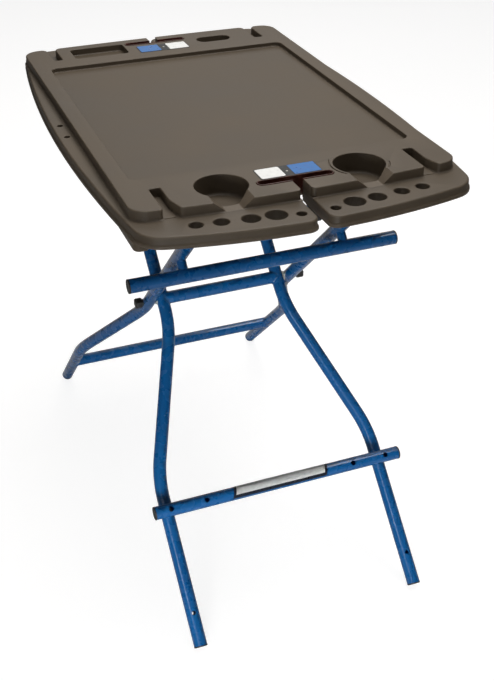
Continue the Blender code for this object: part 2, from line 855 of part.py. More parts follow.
def hook_mesh():
    # y is measured from the seated tube's axis; the hook is open towards the rear
    top = HINGE_DROP - SEAT_GAP
    seat = TUBE_RADIUS + HOOK_CLEARANCE
    outer = seat + HOOK_WALL
    half = HOOK_WIDTH / 2
    base_low = top - HOOK_BASE
    root = base_low + HOOK_BASE / 2
    neck = base_low - HOOK_NECK_HEIGHT
    profile = [(-HOOK_BACK_TOP, root), (-HOOK_BACK, neck), (-outer, HOOK_SHOULDER)]
    profile += arc((0.0, 0.0), outer, 180, 270, 6)
    profile += [(HOOK_LIP, -outer), (HOOK_LIP + HOOK_NOSE, -outer + HOOK_NOSE), (HOOK_LIP, -seat)]
    profile += arc((0.0, 0.0), seat, 270, 90, 14)
    profile += [(HOOK_LIP, seat), (HOOK_LIP + HOOK_NOSE, outer), (HOOK_NECK, neck), (HOOK_NECK_TOP, root)]
    claw = loft([[(x, y, z) for y, z in profile] for x in (-half, half)])
    base = prism(rounded_rectangle(-half, half, -HOOK_BASE_HALF, HOOK_BASE_HALF, HOOK_BASE_CORNER,
                                   SMALL_CORNER_STEPS), base_low, top)
    hook = unite(base, claw)
    holes = [rod(SCREW_DIAMETER / 2 + HOLE_CLEARANCE, base_low - CUT_PAST, top + CUT_PAST, "Z",
                 centre=(0.0, y)) for y in (-HOOK_SCREW_AT, HOOK_SCREW_AT)]
    return cut(hook, joined(holes))


def build_hinges(hinge, materials):
    ear = TUBE_RADIUS + EAR_GAP + EAR_THICKNESS + SEAT_GAP
    for side, label in ((-1, "left"), (1, "right")):
        place = (side * INNER_HALF_TOP, 0.0, 0.0)
        add_piece("hinge_bracket_" + label, bracket_mesh(), hinge, materials["zinc"], place)
        shank = 2 * ear + HINGE_NUT_HEIGHT + THREAD_PAST
        bolt = moved(along_x(hex_bolt_mesh(HINGE_NUT_ACROSS, HINGE_HEAD_HEIGHT,
                                           HINGE_BOLT_DIAMETER / 2, shank), side), side * ear)
        nut = moved(along_x(nut_mesh(HINGE_NUT_ACROSS, HINGE_BOLT_DIAMETER / 2 + HOLE_CLEARANCE,
                                     HINGE_NUT_HEIGHT), -side), -side * ear)
        add_piece("hinge_bolt_" + label, bolt, hinge, materials["zinc"], place)
        add_piece("hinge_nut_" + label, nut, hinge, materials["zinc"], place)
        hook_place = (side * HOOK_X, -2 * HINGE_Y, 0.0)
        add_piece("latch_hook_" + label, hook_mesh(), hinge, materials["black"], hook_place)
    for name, x, y, plate in screw_places():
        place = (x, y - HINGE_Y, HINGE_DROP - plate - 2 * SEAT_GAP)
        add_piece(name, deck_screw_mesh(), hinge, materials["zinc"], place)


# Tubes

def leg_path(half_top, half_foot, steps):
    # Points of the leg's centre line in its frame's plane, with the two bends rounded
    top = LEG_UPPER + LEG_TOP_OVERHANG
    foot = -LEG_LOWER + PLUG_FLANGE
    shift = half_foot - half_top
    angle = math.atan2(shift, JOG_END - JOG_START)
    tangent = BEND_RADIUS * math.tan(angle / 2)
    path = [(half_top, top)]
    upper = (half_top + BEND_RADIUS, -JOG_START + tangent)
    lower = (half_foot - BEND_RADIUS, -JOG_END - tangent)
    turn = math.degrees(angle)
    path += arc(upper, BEND_RADIUS, 180, 180 + turn, steps)
    path += arc(lower, BEND_RADIUS, turn, 0, steps)
    path.append((half_foot, foot))
    return path


def swept_rings(path, radius):
    # Circles square to a path in the xy plane
    rings = []
    for index, point in enumerate(path):
        before = Vector(path[max(0, index - 1)])
        after = Vector(path[min(len(path) - 1, index + 1)])
        run = (after - before).normalized()
        across = Vector((run.y, -run.x, 0.0))
        centre = Vector((point[0], point[1], 0.0))
        rings.append([tuple(centre + across * u + Vector((0.0, 0.0, v)))
                      for u, v in circle(radius, TUBE_SIDES)])
    return rings


def swept_tube(outer_path, bore_path):
    outer = swept_rings(outer_path, TUBE_RADIUS)
    inner = swept_rings(bore_path, BORE_RADIUS)
    return loft(outer + inner[::-1], hollow=True)


def straight_tube(half_length, axis_y=0.0, axis_z=0.0):
    path = [(0.0, -half_length), (0.0, half_length)]
    tube = swept_tube(path, path)
    tube.transform(Matrix.Rotation(math.radians(90), 4, "Z"))
    return moved(tube, 0.0, axis_y, axis_z)


def plug_mesh(length=PLUG_SHANK):
    # The tube ends at z = 0, the shank goes down into it and the flange stands on it
    shank = BORE_RADIUS - SEAT_GAP
    return turned([
        (shank, -length),
        (shank, SEAT_GAP),
        (PLUG_RADIUS, SEAT_GAP),
        (PLUG_RADIUS, PLUG_FLANGE - PLUG_EDGE),
        (PLUG_RADIUS - PLUG_EDGE, PLUG_FLANGE),
    ], TUBE_SIDES)


def turning_bore(diameter, sides):
    # The radius of a faceted hole whose flats clear a pin that turns in it
    return (diameter / 2 + HOLE_CLEARANCE) / math.cos(math.pi / sides)


def leg_mesh(half_top, half_foot, side, hinge_hole, bar_at):
    leg = swept_tube(leg_path(half_top, half_foot, BEND_STEPS), leg_path(half_top, half_foot, BORE_BEND_STEPS))
    reach = TUBE_RADIUS + CUT_PAST
    stud_hole = turning_bore(STUD_DIAMETER, BOLT_SIDES)
    holes = [rod(stud_hole, half_top - reach, half_top + reach, "X")]
    if hinge_hole:
        bolt_hole = turning_bore(HINGE_BOLT_DIAMETER, BOLT_SIDES)
        holes.append(rod(bolt_hole, half_top - reach, half_top + reach, "X", centre=(LEG_UPPER, 0.0)))
    bar_x = half_foot if bar_at < 0 else half_top
    holes.append(rod(BAR_BOLT_DIAMETER / 2 + HOLE_CLEARANCE, -reach, reach, "Z", centre=(bar_x, bar_at)))
    holes.append(rod(FOOT_HOLE_DIAMETER / 2, -reach, reach, "Z", centre=(half_foot, -FOOT_HOLE_AT)))
    leg = cut(leg, joined(holes))
    if side < 0:
        leg.transform(Matrix.Scale(-1, 4, (1, 0, 0)))
        leg.flip_normals()
    return leg


def coped_tube(half_span, at):
    # A cross tube between two legs, its ends cut to the legs' round
    tube = straight_tube(half_span, at)
    reach = TUBE_RADIUS * 2
    legs = [rod(COPE_RADIUS, at - reach, at + reach, "Y", COPE_SIDES, (side * half_span, 0.0))
            for side in (-1, 1)]
    return cut(tube, joined(legs))


def bar_mesh(bolt_half):
    bar = straight_tube(BAR_LENGTH / 2 - PLUG_FLANGE)
    reach = TUBE_RADIUS + CUT_PAST
    holes = []
    for side in (-1, 1):
        for x in (OUTER_HALF_TOP, INNER_HALF_FOOT):
            holes.append(rod(BAR_ACCESS_DIAMETER / 2, 0.0, reach, "Z", SHANK_SIDES, (side * x, 0.0)))
        holes.append(rod(BAR_BOLT_DIAMETER / 2 + HOLE_CLEARANCE, -reach, -BORE_RADIUS + CUT_PAST, "Z",
                         centre=(side * bolt_half, 0.0)))
    return cut(bar, joined(holes))


def standoff_mesh():
    # Between the leg's axis at z = 0 and the bar's axis at z = BAR_OFFSET
    radius = STANDOFF_DIAMETER / 2
    hole = BAR_BOLT_DIAMETER / 2 + HOLE_CLEARANCE
    post = moved(ring_mesh(radius, hole, BAR_OFFSET - TUBE_RADIUS, SHANK_SIDES), z=TUBE_RADIUS / 2)
    leg = rod(COPE_RADIUS, -2 * radius, 2 * radius, "Y", COPE_SIDES)
    bar = rod(COPE_RADIUS, -2 * radius, 2 * radius, "X", COPE_SIDES, (0.0, BAR_OFFSET))
    return cut(post, leg, bar)


def bar_bolt_seat():
    # Height above the leg's axis at which a round head clears the bar's inner wall
    head = BAR_BOLT_HEAD / 2
    return BAR_OFFSET - math.sqrt(BORE_RADIUS ** 2 - head ** 2) + SEAT_GAP


def bar_bolt_mesh():
    # The head seats inside the bar on its leg side, and the shank ends just past the nut
    seat = bar_bolt_seat()
    length = seat + TUBE_RADIUS + SEAT_GAP + BAR_NUT_HEIGHT + THREAD_PAST
    return moved(cap_screw_mesh(BAR_BOLT_HEAD, BAR_BOLT_HEAD_HEIGHT, BAR_BOLT_DIAMETER, length,
                                BAR_BOLT_SOCKET, BAR_BOLT_SOCKET_DEPTH), z=seat)


def bar_nut_mesh():
    # The nut closes the leg's far side
    return moved(nut_mesh(BAR_NUT_ACROSS, BAR_BOLT_DIAMETER / 2 + HOLE_CLEARANCE, BAR_NUT_HEIGHT),
                 z=-TUBE_RADIUS - SEAT_GAP - BAR_NUT_HEIGHT)


def build_bar(name, frame, at, bolt_half, materials):
    place = (0.0, at, BAR_OFFSET)
    add_piece(name, bar_mesh(bolt_half), frame, materials["paint"], place)
    end = BAR_LENGTH / 2 - PLUG_FLANGE
    for side, label in ((-1, "left"), (1, "right")):
        foot = (side * bolt_half, at, 0.0)
        add_piece(name + "_standoff_" + label, standoff_mesh(), frame, materials["paint"], foot)
        add_piece(name + "_bolt_" + label, bar_bolt_mesh(), frame, materials["zinc"], foot)
        add_piece(name + "_nut_" + label, bar_nut_mesh(), frame, materials["zinc"], foot)
        plug = along_x(plug_mesh(), side)
        add_piece(name + "_plug_" + label, plug, frame, materials["black"], (side * end, at, BAR_OFFSET))


def foot_mesh(half_foot, frame):
    # A plug at the leg's foot, cut flat where it stands on the floor
    foot = moved(along_y(plug_mesh(), -1), half_foot, -LEG_LOWER + PLUG_FLANGE)
    reach = LEG_LOWER + INNER_HALF_FOOT
    floor = box((-reach, -reach, -TUBE_DIAMETER), (reach, reach, 0.0))
    bpy.context.view_layer.update()
    floor.transform(frame.matrix_world.inverted())
    return cut(foot, floor)


def build_frame(name, frame, half_top, half_foot, bar, materials):
    hinge_hole = name == "inner"
    for side, label in ((-1, "left"), (1, "right")):
        leg = leg_mesh(half_top, half_foot, side, hinge_hole, bar[1])
        add_piece(name + "_leg_" + label, leg, frame, materials["paint"])
        foot = foot_mesh(side * half_foot, frame)
        add_piece(name + "_foot_" + label, foot, frame, materials["black"])
        top = (side * half_top, LEG_UPPER + LEG_TOP_OVERHANG, 0.0)
        plug = along_y(plug_mesh(TOP_PLUG_SHANK))
        add_piece(name + "_top_plug_" + label, plug, frame, materials["black"], top)
    build_bar(bar[0], frame, bar[1], bar[2], materials)


# Pivot

def insert_mesh(side):
    # A threaded insert inside the inner cross tube, near one leg
    hole = turning_bore(STUD_DIAMETER, TUBE_SIDES)
    ring = ring_mesh(BORE_RADIUS - SEAT_GAP, hole, INSERT_LENGTH, TUBE_SIDES)
    return moved(along_x(ring, -side), side * (INNER_HALF_TOP - INSERT_DEPTH))


def washer_mesh(side):
    # A washer between the two frames' legs
    hole = turning_bore(STUD_DIAMETER, TUBE_SIDES)
    thickness = FRAME_SPACING - TUBE_DIAMETER - 2 * SEAT_GAP
    ring = ring_mesh(WASHER_DIAMETER / 2, hole, thickness, TUBE_SIDES)
    return moved(along_x(ring, side), side * (INNER_HALF_TOP + TUBE_RADIUS + SEAT_GAP))


def knob_outline():
    points = []
    count = KNOB_LOBES * LOBE_STEPS
    for step in range(count):
        angle = 2 * math.pi * step / count
        radius = KNOB_DIAMETER / 2 - KNOB_LOBE_DEPTH * (1 - math.cos(KNOB_LOBES * angle)) / 2
        points.append((radius * math.cos(angle), radius * math.sin(angle)))
    return points


def knob_mesh(side):
    neck = KNOB_NECK_DIAMETER / 2
    outline = knob_outline()
    rings = [[(x, y, 0.0) for x, y in circle(neck, len(outline))],
             [(x, y, KNOB_NECK) for x, y in circle(neck, len(outline))]]
    for distance, height in ((0.0, KNOB_NECK + KNOB_STEP), (0.0, KNOB_LENGTH - KNOB_EDGE),
                             (KNOB_EDGE, KNOB_LENGTH)):
        rings.append([(x, y, height) for x, y in inset(outline, distance)])
    hole = rod(STUD_DIAMETER / 2 + HOLE_CLEARANCE, -CUT_PAST, STUD_IN_KNOB + SEAT_GAP, "Z", HOLE_SIDES)
    knob = cut(loft(rings), hole)
    return moved(along_x(knob, side), side * KNOB_BASE)


def stud_mesh(side):
    start = INNER_HALF_TOP - INSERT_DEPTH - INSERT_LENGTH
    end = KNOB_BASE + STUD_IN_KNOB
    radius = STUD_DIAMETER / 2
    stud = turned([(radius - STUD_EDGE, start), (radius, start + STUD_EDGE), (radius, end)], BOLT_SIDES)
    return along_x(stud, side)


def build_pivot(inner, knobs, materials):
    for side, label in ((-1, "left"), (1, "right")):
        add_piece("pivot_insert_" + label, insert_mesh(side), inner, materials["zinc"])
        add_piece("pivot_washer_" + label, washer_mesh(side), inner, materials["nylon"])
        add_piece("pivot_knob_" + label, knob_mesh(side), knobs[side], materials["black"])
        add_piece("pivot_stud_" + label, stud_mesh(side), knobs[side], materials["zinc"])


def build_workbench():
    clear_scene()
    materials = make_materials()
    bench = make_empty("bench", None, (0.0, 0.0, 0.0))
    pivot = (0.0, 0.0, PIVOT_HEIGHT)
    inner = make_empty("inner_frame_axis", bench, pivot, LEG_ANGLE)
    outer = make_empty("outer_frame_axis", bench, pivot, math.pi - LEG_ANGLE)
    hinge = make_empty("deck_hinge_axis", bench, (0.0, HINGE_Y, HINGE_HEIGHT))
    knobs = {side: make_empty("knob_axis_" + label, bench, pivot)
             for side, label in ((-1, "left"), (1, "right"))}
    build_deck(hinge, materials)
    build_hinges(hinge, materials)
    build_frame("inner", inner, INNER_HALF_TOP, INNER_HALF_FOOT,
                ("lower_bar", LOWER_BAR_AT, INNER_HALF_FOOT), materials)
    build_frame("outer", outer, OUTER_HALF_TOP, OUTER_HALF_FOOT,
                ("upper_bar", UPPER_BAR_AT, OUTER_HALF_TOP), materials)
    add_piece("inner_cross_tube", coped_tube(INNER_HALF_TOP, 0.0), inner, materials["paint"])
    add_piece("outer_top_tube", coped_tube(OUTER_HALF_TOP, LEG_UPPER), outer, materials["paint"])
    add_piece("outer_cross_tube", coped_tube(OUTER_HALF_FOOT, -CROSS_TUBE_AT), outer, materials["paint"])
    build_pivot(inner, knobs, materials)


build_workbench()
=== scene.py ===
import json
import math

import bmesh
import bpy
from mathutils import Matrix, Vector


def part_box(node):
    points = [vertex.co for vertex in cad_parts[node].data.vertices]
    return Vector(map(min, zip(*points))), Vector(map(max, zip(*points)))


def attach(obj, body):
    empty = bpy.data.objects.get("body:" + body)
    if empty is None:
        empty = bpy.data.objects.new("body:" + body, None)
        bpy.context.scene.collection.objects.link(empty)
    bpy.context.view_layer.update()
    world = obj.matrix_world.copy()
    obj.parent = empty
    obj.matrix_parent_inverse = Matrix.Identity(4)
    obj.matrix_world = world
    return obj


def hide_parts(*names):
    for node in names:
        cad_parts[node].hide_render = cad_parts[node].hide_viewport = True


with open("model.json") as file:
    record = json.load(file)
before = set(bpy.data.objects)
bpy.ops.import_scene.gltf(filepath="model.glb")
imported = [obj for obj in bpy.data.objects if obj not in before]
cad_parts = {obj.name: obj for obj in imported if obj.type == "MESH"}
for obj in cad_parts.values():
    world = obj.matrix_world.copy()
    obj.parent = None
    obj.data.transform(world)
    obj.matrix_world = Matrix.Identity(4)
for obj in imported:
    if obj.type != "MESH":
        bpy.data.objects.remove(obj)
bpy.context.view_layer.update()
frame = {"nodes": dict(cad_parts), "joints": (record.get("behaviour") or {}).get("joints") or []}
print("frame loaded:", len(frame["nodes"]), "nodes")

jointAt = {joint["name"]: Vector(joint["pos_m"]) for joint in frame["joints"]}
hingeAt = jointAt["deck_fold"]
pivotAt = jointAt["leg_scissor"]
legAngle = math.atan2(hingeAt.z - pivotAt.z, hingeAt.y - pivotAt.y)
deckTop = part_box("deck")[1].z

# every piece is built in its own part's coordinates and then carried to the bench by one of these
deckPlace = Matrix.Translation((hingeAt.x, 0, deckTop))
innerPlace = Matrix.Translation(pivotAt) @ Matrix.Rotation(legAngle, 4, "X")
outerPlace = Matrix.Translation(pivotAt) @ Matrix.Rotation(math.pi - legAngle, 4, "X")
sides = ((-1, "left"), (1, "right"))


# outlines, as counter-clockwise lists of (x, y)

def evenSteps(start, end, steps):
    return [start + (end - start) * step / steps for step in range(steps + 1)]


def quarterAngles(steps):
    return [math.radians(turn) for turn in evenSteps(0, 90, steps)]


def arcPoints(centre, radius, start, end, steps):
    angles = [math.radians(turn) for turn in evenSteps(start, end, steps)]
    return [(centre[0] + radius * math.cos(angle), centre[1] + radius * math.sin(angle))
            for angle in angles]


def circlePoints(radius, steps, centre=(0, 0)):
    return arcPoints(centre, radius, 0, 360, steps)[:-1]


def roundedPath(corners, closed=True, stepAngle=9):
    # corners are (x, y, radius); each radius becomes an arc that touches both of its lines
    points = []
    count = len(corners)
    for index, (x, y, radius) in enumerate(corners):
        here = Vector((x, y))
        if radius <= 0 or (not closed and index in (0, count - 1)):
            points.append((x, y))
            continue
        before = Vector(corners[index - 1][:2]) - here
        after = Vector(corners[(index + 1) % count][:2]) - here
        turn = math.pi - before.angle(after)
        reach = radius * math.tan(turn / 2)
        start = here + before.normalized() * reach
        end = here + after.normalized() * reach
        middle = (before.normalized() + after.normalized()).normalized()
        centre = here + middle * (radius / math.cos(turn / 2))
        steps = max(2, math.ceil(math.degrees(turn) / stepAngle))
        first = start - centre
        swing = first.angle_signed(end - centre)
        for step in range(steps + 1):
            angle = -swing * step / steps
            offset = Vector((first.x * math.cos(angle) - first.y * math.sin(angle),
                             first.x * math.sin(angle) + first.y * math.cos(angle)))
            points.append(tuple(centre + offset))
    return points


def insetPath(points, distance):
    moved = []
    count = len(points)
    for index, point in enumerate(points):
        here = Vector(point)
        first = (here - Vector(points[index - 1])).normalized()
        second = (Vector(points[(index + 1) % count]) - here).normalized()
        normal = Vector((-first.y - second.y, first.x + second.x)).normalized()
        spread = max(0.5, normal.dot(Vector((-first.y, first.x))))
        moved.append(tuple(here + normal * (distance / spread)))
    return moved


def roundedBox(left, right, front, rear, radius, stepAngle=9):
    corners = [(left, front, radius), (right, front, radius),
               (right, rear, radius), (left, rear, radius)]
    return roundedPath(corners, stepAngle=stepAngle)


# profiles, as lists of (distance inwards, height)

flareTurn = 74
flareRise = 0.0012


def topEdge(z, radius, steps=5):
    # a quarter round that ends flat at height z
    return [(radius * (1 - math.cos(angle)), z - radius + radius * math.sin(angle))
            for angle in quarterAngles(steps)]


def bottomEdge(z, radius, steps=4):
    return [(distance, 2 * z - height) for distance, height in reversed(topEdge(z, radius, steps))]


def floorEdge(z, radius, steps):
    # a quarter round from a flat floor at height z up into a wall
    return [(radius * (1 - math.sin(angle)), z + radius * (1 - math.cos(angle)))
            for angle in quarterAngles(steps)]


def flareEdge(z, radius, steps=5):
    # the rim of a cutter: it opens out so that the edge that it leaves is round
    last = math.radians(flareTurn)
    points = [(-radius * (1 - math.cos(angle)), z - radius + radius * math.sin(angle))
              for angle in evenSteps(0, last, steps)]
    rise = z + flareRise - points[-1][1]
    points.append((points[-1][0] - rise * math.tan(last), z + flareRise))
    return points


# meshes

def meshFrom(bm, name="solid"):
    bmesh.ops.recalc_face_normals(bm, faces=bm.faces[:])
    mesh = bpy.data.meshes.new(name)
    bm.to_mesh(mesh)
    bm.free()
    return mesh


def loftRings(rings, hollow=False, loop=False):
    bm = bmesh.new()
    loops = [[bm.verts.new(point) for point in ring] for ring in rings]
    pairs = list(zip(loops, loops[1:]))
    if hollow or loop:
        pairs.append((loops[-1], loops[0]))
    for lower, upper in pairs:
        for index in range(len(lower)):
            following = (index + 1) % len(lower)
            bm.faces.new((lower[index], lower[following], upper[following], upper[index]))
    if not (hollow or loop):
        bm.faces.new(loops[0][::-1])
        bm.faces.new(loops[-1])
    return meshFrom(bm)


def stackOutline(outline, profile, hollow=False):
    # profile entries are (inset, z)
    return loftRings([[(x, y, z) for x, y in insetPath(outline, distance)]
                      for distance, z in profile], hollow)


def turnProfile(profile, steps, hollow=False):
    # profile entries are (radius, z)
    return loftRings([[(x, y, z) for x, y in circlePoints(radius, steps)]
                      for radius, z in profile], hollow)


def prismMesh(outline, low, high):
    return loftRings([[(x, y, z) for x, y in outline] for z in (low, high)])


def boxMesh(low, high):
    outline = [(low[0], low[1]), (high[0], low[1]), (high[0], high[1]), (low[0], high[1])]
    return prismMesh(outline, low[2], high[2])


def moveMesh(mesh, x=0.0, y=0.0, z=0.0):
    mesh.transform(Matrix.Translation((x, y, z)))
    return mesh


def turnMesh(mesh, degrees, axis):
    mesh.transform(Matrix.Rotation(math.radians(degrees), 4, axis))
    return mesh


def rodAlong(axis, radius, start, end, centre=(0.0, 0.0), steps=32):
    mesh = turnProfile([(radius, start), (radius, end)], steps)
    if axis == "X":
        return moveMesh(turnMesh(mesh, 90, "Y"), 0, centre[0], centre[1])
    if axis == "Y":
        return moveMesh(turnMesh(mesh, -90, "X"), centre[0], 0, centre[1])
    return moveMesh(mesh, centre[0], centre[1], 0)


def joinMeshes(meshes):
    bm = bmesh.new()
    for mesh in meshes:
        bm.from_mesh(mesh)
    for mesh in meshes:
        bpy.data.meshes.remove(mesh)
    joined = bpy.data.meshes.new("joined")
    bm.to_mesh(joined)
    bm.free()
    return joined


def addObject(name, data):
    item = bpy.data.objects.new(name, data)
    bpy.context.collection.objects.link(item)
    return item


mergeGap = 0.000002


def combineMeshes(base, tools, operation):
    baseObject = addObject("base", base)
    scratch = [baseObject]
    for tool in tools:
        toolObject = addObject("tool", tool)
        scratch.append(toolObject)
        modifier = baseObject.modifiers.new("combine", "BOOLEAN")
        modifier.operation = operation
        modifier.solver = "EXACT"
        modifier.object = toolObject
    bpy.context.view_layer.update()
    graph = bpy.context.evaluated_depsgraph_get()
    result = bpy.data.meshes.new_from_object(baseObject.evaluated_get(graph))
    for item in scratch:
        mesh = item.data
        bpy.data.objects.remove(item)
        bpy.data.meshes.remove(mesh)
    bm = bmesh.new()
    bm.from_mesh(result)
    bmesh.ops.remove_doubles(bm, verts=bm.verts[:], dist=mergeGap)
    bmesh.ops.dissolve_degenerate(bm, edges=bm.edges[:], dist=mergeGap)
    bm.to_mesh(result)
    bm.free()
    return result


def uniteMeshes(base, *tools):
    return combineMeshes(base, tools, "UNION")


def cutMesh(base, *tools):
    return combineMeshes(base, tools, "DIFFERENCE")


def roundEdges(item, width, degrees):
    rounding = item.modifiers.new("rounding", "BEVEL")
    rounding.width = width
    rounding.segments = 2
    rounding.limit_method = "ANGLE"
    rounding.angle_limit = math.radians(degrees)


def finishPiece(name, mesh, body, slot, nodes=(), place=None, smooth=32, bevel=0.0, look=None):
    # puts a mesh on the bench as one piece, riding on its body; its look is its slot's own
    # unless another one is named
    if place is not None:
        mesh.transform(place)
    mesh.name = name
    mesh.materials.clear()
    mesh.materials.append(materials[look or slot])
    mesh.shade_smooth()
    mesh.set_sharp_from_angle(angle=math.radians(smooth))
    piece = addObject(name, mesh)
    if bevel:
        roundEdges(piece, bevel, 40)
    weighting = piece.modifiers.new("flats", "WEIGHTED_NORMAL")
    weighting.keep_sharp = True
    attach(piece, body)
    if nodes:
        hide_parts(*nodes)
    return piece


# materials

def linearColour(red, green, blue):
    channels = []
    for value in (red, green, blue):
        share = value / 255
        channels.append(share / 12.92 if share <= 0.04045 else ((share + 0.055) / 1.055) ** 2.4)
    return (*channels, 1.0)


def newMaterial(name, roughness, metallic=0.0):
    material = bpy.data.materials.new(name)
    material.use_nodes = True
    shader = material.node_tree.nodes["Principled BSDF"]
    shader.inputs["Roughness"].default_value = roughness
    shader.inputs["Metallic"].default_value = metallic
    return material, material.node_tree, shader


def addNode(tree, kind, **values):
    node = tree.nodes.new(kind)
    for key, value in values.items():
        if key in node.inputs:
            node.inputs[key].default_value = value
        else:
            setattr(node, key, value)
    return node


def objectPoints(tree, stretch=(1, 1, 1)):
    place = addNode(tree, "ShaderNodeTexCoord")
    mapping = addNode(tree, "ShaderNodeMapping")
    mapping.inputs["Scale"].default_value = stretch
    tree.links.new(place.outputs["Object"], mapping.inputs["Vector"])
    return mapping.outputs["Vector"]


def noiseField(tree, points, scale, detail=3.0, rough=0.5):
    node = addNode(tree, "ShaderNodeTexNoise", Scale=scale, Detail=detail, Roughness=rough)
    tree.links.new(points, node.inputs["Vector"])
    return node.outputs["Fac"]


def rangeOf(tree, value, low, high, toLow, toHigh):
    node = addNode(tree, "ShaderNodeMapRange")
    limits = {"From Min": low, "From Max": high, "To Min": toLow, "To Max": toHigh}
    for key, number in limits.items():
        node.inputs[key].default_value = number
    tree.links.new(value, node.inputs["Value"])
    return node.outputs["Result"]


def mixColours(tree, factor, first, second):
    node = addNode(tree, "ShaderNodeMix", data_type="RGBA")
    for socket, value in ((node.inputs[6], first), (node.inputs[7], second)):
        if isinstance(value, tuple):
            socket.default_value = value
        else:
            tree.links.new(value, socket)
    tree.links.new(factor, node.inputs[0])
    return node.outputs[2]


def driftColours(tree, shader, factor, first, second):
    mixed = mixColours(tree, factor, linearColour(*first), linearColour(*second))
    tree.links.new(mixed, shader.inputs["Base Color"])


def driftRoughness(tree, shader, field, low, high, limits):
    tree.links.new(rangeOf(tree, field, low, high, *limits), shader.inputs["Roughness"])


def addBump(tree, shader, layers):
    # layers are (height field, strength, distance)
    previous = None
    for height, strength, distance in layers:
        bump = addNode(tree, "ShaderNodeBump", Strength=strength, Distance=distance)
        tree.links.new(height, bump.inputs["Height"])
        if previous is not None:
            tree.links.new(previous, bump.inputs["Normal"])
        previous = bump.outputs["Normal"]
    tree.links.new(previous, shader.inputs["Normal"])


grainStep = 0.0001

mouldedLook = {
    "colour": (88, 77, 63), "darker": (77, 67, 54), "rubAndHighlight": (112, 99, 84),
    "roughness": (0.46, 0.58), "shine": 0.4, "cloudScale": 5.5, "speckScale": 420,
    "scratchStretch": (9, 160, 9), "scratchScale": 4.5,
    # for scratches, specks and edges: where the lighter colour starts, where it is full, how strong
    # it gets; on scratches and specks it is wear, on the edges it is partly wear and partly a
    # painted highlight
    "scratchRub": (0.66, 0.74, 0.22), "speckRub": (0.60, 0.74, 0.16), "edgeWearAndHighlight": (0.505, 0.56, 0.5),
    "grainScale": 1100, "grainDepth": 0.00012, "rippleScale": 9, "rippleDepth": 0.0007,
}


def mouldedPlastic(name, look):
    material, tree, shader = newMaterial(name, look["roughness"][0])
    shader.inputs["Specular IOR Level"].default_value = look["shine"]
    points = objectPoints(tree)
    cloud = noiseField(tree, points, look["cloudScale"], 4)
    speck = noiseField(tree, points, look["speckScale"], 2)
    scratchPoints = objectPoints(tree, look["scratchStretch"])
    scratches = noiseField(tree, scratchPoints, look["scratchScale"], 5, 0.65)
    # the lighter colour on sharp edges is partly wear and partly a painted highlight along the
    # rounded edges
    edgeWearAndHighlightField = addNode(tree, "ShaderNodeNewGeometry").outputs["Pointiness"]
    surface = mixColours(tree, rangeOf(tree, cloud, 0.32, 0.68, 0, 1),
                         linearColour(*look["darker"]), linearColour(*look["colour"]))
    rubsAndHighlight = ((scratches, "scratchRub"), (speck, "speckRub"), (edgeWearAndHighlightField, "edgeWearAndHighlight"))
    for field, key in rubsAndHighlight:
        low, high, strength = look[key]
        surface = mixColours(tree, rangeOf(tree, field, low, high, 0, strength), surface,
                             linearColour(*look["rubAndHighlight"]))
    tree.links.new(surface, shader.inputs["Base Color"])
    driftRoughness(tree, shader, cloud, 0.3, 0.7, look["roughness"])
    grain = addNode(tree, "ShaderNodeTexVoronoi", Scale=look["grainScale"])
    tree.links.new(points, grain.inputs["Vector"])
    addBump(tree, shader, [
        (noiseField(tree, points, look["rippleScale"], 1), 0.25, look["rippleDepth"]),
        (grain.outputs["Distance"], 0.45, look["grainDepth"]),
        (speck, 0.3, grainStep),
    ])
    return material


linerLook = {"colour": (60, 27, 20), "lighter": (86, 43, 31), "flatRoughness": 0.34,
             "roughness": (0.34, 0.34), "shine": 0.35, "cloudScale": 60, "grain": (700, 0.2)}
blackLook = {"colour": (21, 21, 22), "lighter": (38, 37, 36), "flatRoughness": 0.42,
             "roughness": (0.36, 0.55), "shine": 0.5, "cloudScale": 130, "grain": (1300, 0.35)}
vinylLook = {"flatRoughness": 0.32, "roughness": (0.26, 0.4), "shine": 0.5, "cloudScale": 120,
             "grain": (500, 0.1)}
whiteLook = {"colour": (236, 236, 234), "lighter": (246, 246, 244), **vinylLook}
blueLook = {"colour": (2, 94, 168), "lighter": (12, 110, 184), **vinylLook}
darkLook = {"colour": (24, 28, 40), "lighter": (34, 38, 52), **vinylLook}


def cloudedPlastic(name, look):
    # a colour that drifts into a lighter one, under a fine grain
    material, tree, shader = newMaterial(name, look["flatRoughness"])
    shader.inputs["Specular IOR Level"].default_value = look["shine"]
    points = objectPoints(tree)
    cloud = noiseField(tree, points, look["cloudScale"], 3)
    drift = rangeOf(tree, cloud, 0.35, 0.7, 0, 1)
    driftColours(tree, shader, drift, look["colour"], look["lighter"])
    driftRoughness(tree, shader, cloud, 0.3, 0.7, look["roughness"])
    scale, strength = look["grain"]
    addBump(tree, shader, [(noiseField(tree, points, scale, 2), strength, grainStep)])
    return material


paintLook = {"colour": (8, 82, 138), "deeper": (6, 74, 128), "roughness": (0.26, 0.29),
             "coat": 0.4, "coatRoughness": 0.08, "cloudScale": 6, "fieldScale": 40}


def glossPaint(name, look):
    material, tree, shader = newMaterial(name, look["roughness"][0])
    points = objectPoints(tree)
    drift = rangeOf(tree, noiseField(tree, points, look["cloudScale"], 1), 0.3, 0.7, 0, 1)
    driftColours(tree, shader, drift, look["deeper"], look["colour"])
    field = noiseField(tree, points, look["fieldScale"], 2)
    driftRoughness(tree, shader, field, 0.35, 0.7, look["roughness"])
    shader.inputs["Coat Weight"].default_value = look["coat"]
    shader.inputs["Coat Roughness"].default_value = look["coatRoughness"]
    return material


zincLook = {"colour": (150, 153, 158), "lighter": (192, 190, 180), "flatRoughness": 0.34,
            "roughness": (0.26, 0.46), "metallic": 0.95, "cloudScale": 75,
            "brushStretch": (1, 30, 1), "brushScale": 260, "brushStrength": 0.12}


